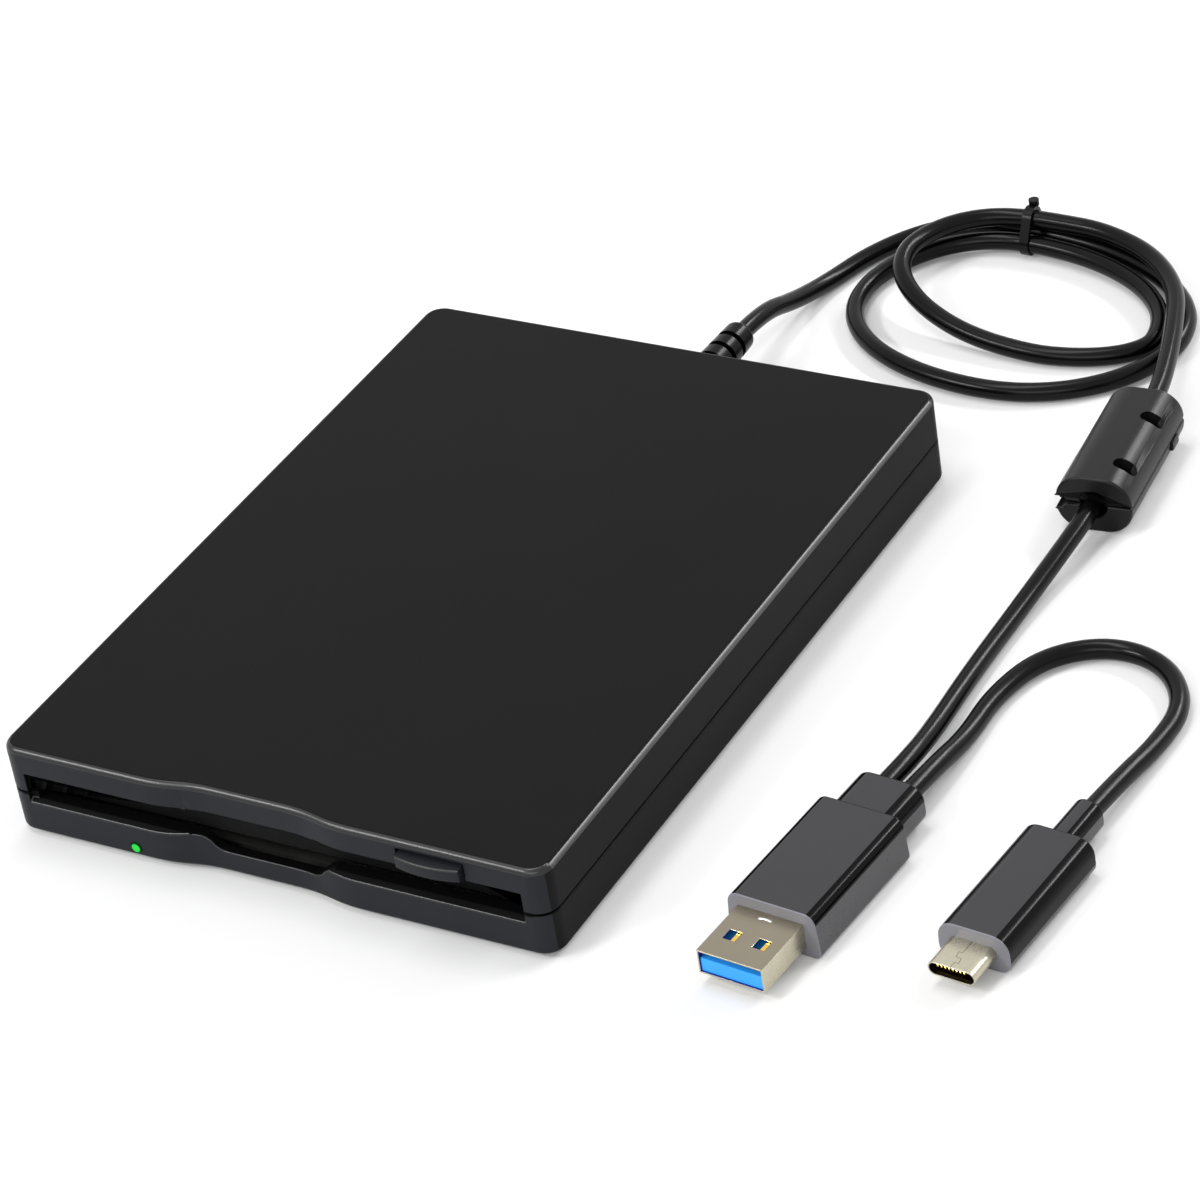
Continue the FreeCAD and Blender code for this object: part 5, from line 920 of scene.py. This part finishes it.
# %% Stepped seam of the narrow plug
PLUG_C_SHELL_LENGTH = 6.65
PLUG_C_SHELL_HEIGHT = 2.56
PLUG_C_TIP = -PLUG_C_NECK[1] - PLUG_C_BODY[1] - PLUG_C_SHELL_LENGTH
SEAM_STEPS = [(0.0, 0.0), (0.0, 1.3), (0.7, 1.3), (0.45, 2.5), (-0.45, 2.5), (-0.7, 3.7),
              (0.0, 3.7), (0.0, 6.6)]
SEAM_WIDTH = 0.07
SEAM_HEIGHT = 0.03
seam_top = PLUG_C_BODY[2] / 2 + PLUG_C_SHELL_HEIGHT / 2

bm = bmesh.new()
for (x0, y0), (x1, y1) in zip(SEAM_STEPS, SEAM_STEPS[1:]):
    run = math.hypot(x1 - x0, y1 - y0)
    turn = Matrix.Rotation(math.atan2(y1 - y0, x1 - x0), 4, "Z")
    step_middle = Matrix.Translation(((x0 + x1) / 2, PLUG_C_TIP + (y0 + y1) / 2, seam_top))
    placed_block(bm, (run + SEAM_WIDTH, SEAM_WIDTH, SEAM_HEIGHT), (0, 0, 0),
                 plug_place(PLUG_C_REAR) @ step_middle @ turn, 0.01, 1)
seam = finished_piece("plug_c_seam", bm, ["seam_black_and_painted_shade"])

# %% [markdown]
# ### Contacts in the narrow mouth
# A row of small gold contacts shows just inside the narrow mouth. Each could be a folded
# spring, but only its end is seen, so small blocks at one pitch stand there.

# %% Row of gold contacts at the mouth of the narrow plug
TOOTH_COUNT = 8
TOOTH_PITCH = 0.66
TOOTH_SIZE = (0.28, 0.6, 0.4)

bm = bmesh.new()
for i in range(TOOTH_COUNT):
    tooth_middle = ((i - (TOOTH_COUNT - 1) / 2) * TOOTH_PITCH, PLUG_C_TIP + 0.35, seam_top - 0.5)
    placed_block(bm, TOOTH_SIZE, tooth_middle, plug_place(PLUG_C_REAR), 0.05, 1)
teeth = finished_piece("plug_c_teeth", bm, ["contact_gold"])

# %% [markdown]
# ## What hangs on each cord
# The main cord carries the strain relief, the tie, the bead and the wide plug, and the pigtail carries the
# narrow plug.

print("the main cord carries the relief, the tie, the bead and the wide plug; the pigtail the narrow plug")

# %% [markdown]
# ## The studio
# The drive lies on a plain pale table. Camera rays see the world and the floor as white, as
# the photograph does, and so do mirror-like reflections, while the light that falls on the
# drive stays at a plain level. Stronger lamps would whiten the table too, but they would wash
# out the blacks. Far from the drive, where the lamps fade, the table glows a little more.

# %% World and floor
WORLD_LIGHT = 0.42
FLOOR_HALF_SIZE = 4.0
FLOOR_TONE = 0.8
GLOW_REACH = (0.3, 0.9)
GLOW_RANGE = (0.08, 0.7)


def white_to_the_eye(tree, plain, bright):
    """Value that is bright for camera, glossy and transmission rays and plain for the rest."""
    path = tree.nodes.new("ShaderNodeLightPath")
    some = math_in(tree, "MAXIMUM", path.outputs["Is Camera Ray"], path.outputs["Is Glossy Ray"])
    some = math_in(tree, "MAXIMUM", some, path.outputs["Is Transmission Ray"])
    return math_in(tree, "ADD", plain, math_in(tree, "MULTIPLY", some, bright - plain))


world = bpy.data.worlds.new("studio")
world.use_nodes = True
bpy.context.scene.world = world
background = world.node_tree.nodes["Background"]
background.inputs["Color"].default_value = (1, 1, 1, 1)
world.node_tree.links.new(white_to_the_eye(world.node_tree, WORLD_LIGHT, 1.0), background.inputs["Strength"])

bm = bmesh.new()
bmesh.ops.create_grid(bm, x_segments=1, y_segments=1, size=FLOOR_HALF_SIZE)
floor_mesh = bpy.data.meshes.new("floor")
bm.to_mesh(floor_mesh)
bm.free()
floor = new_object("floor", floor_mesh)

# %% A floor that is white to the eye and keeps the shadow
floor_material = bpy.data.materials.new("pale_table")
floor_material.use_nodes = True
tree = floor_material.node_tree
tree.nodes.remove(tree.nodes["Principled BSDF"])
diffuse = tree.nodes.new("ShaderNodeBsdfDiffuse")
diffuse.inputs["Color"].default_value = (FLOOR_TONE, FLOOR_TONE, FLOOR_TONE, 1)
glow = tree.nodes.new("ShaderNodeEmission")
distance = tree.nodes.new("ShaderNodeVectorMath")
distance.operation = "LENGTH"
tree.links.new(tree.nodes.new("ShaderNodeTexCoord").outputs["Object"], distance.inputs[0])
far_glow = mapped_in(tree, distance.outputs["Value"], GLOW_REACH, GLOW_RANGE)
glow_to_the_eye = math_in(tree, "MULTIPLY", white_to_the_eye(tree, 0.0, 1.0), far_glow)
tree.links.new(glow_to_the_eye, glow.inputs["Strength"])
both = tree.nodes.new("ShaderNodeAddShader")
tree.links.new(diffuse.outputs["BSDF"], both.inputs[0])
tree.links.new(glow.outputs["Emission"], both.inputs[1])
tree.links.new(both.outputs["Shader"], tree.nodes["Material Output"].inputs["Surface"])
floor_mesh.materials.append(floor_material)
print("floor", FLOOR_HALF_SIZE * 2, "metres wide")

# %% [markdown]
# ### Lamps
# Black plastic shows little but reflections, so the lamps are narrow strips, placed where the
# rounded edges mirror them. The one behind and to the right draws the bright line along the
# drive's long upper edge, and the others lift the top, the left side and the front.


# %% Four strip lamps
def soft_lamp(name, place, target, size, power):
    data = bpy.data.lights.new(name, "AREA")
    data.shape = "RECTANGLE"
    data.size, data.size_y = size
    data.energy = power
    lamp = new_object(name, data)
    lamp.location = place
    lamp.rotation_euler = (Vector(target) - Vector(place)).to_track_quat("-Z", "Y").to_euler()


MIDDLE = (0.03, 0.03, 0.0)
soft_lamp("lamp_rear_right", (0.50, 0.93, 0.74), MIDDLE, (0.85, 0.1), 9.5)
soft_lamp("lamp_above", (-0.25, 0.1, 1.25), MIDDLE, (0.9, 0.25), 6.0)
soft_lamp("lamp_front_left", (-0.66, -0.74, 0.86), MIDDLE, (0.5, 0.12), 7.5)
soft_lamp("lamp_front", (0.25, -1.1, 0.75), MIDDLE, (1.1, 0.4), 5.0)
print("studio ready")
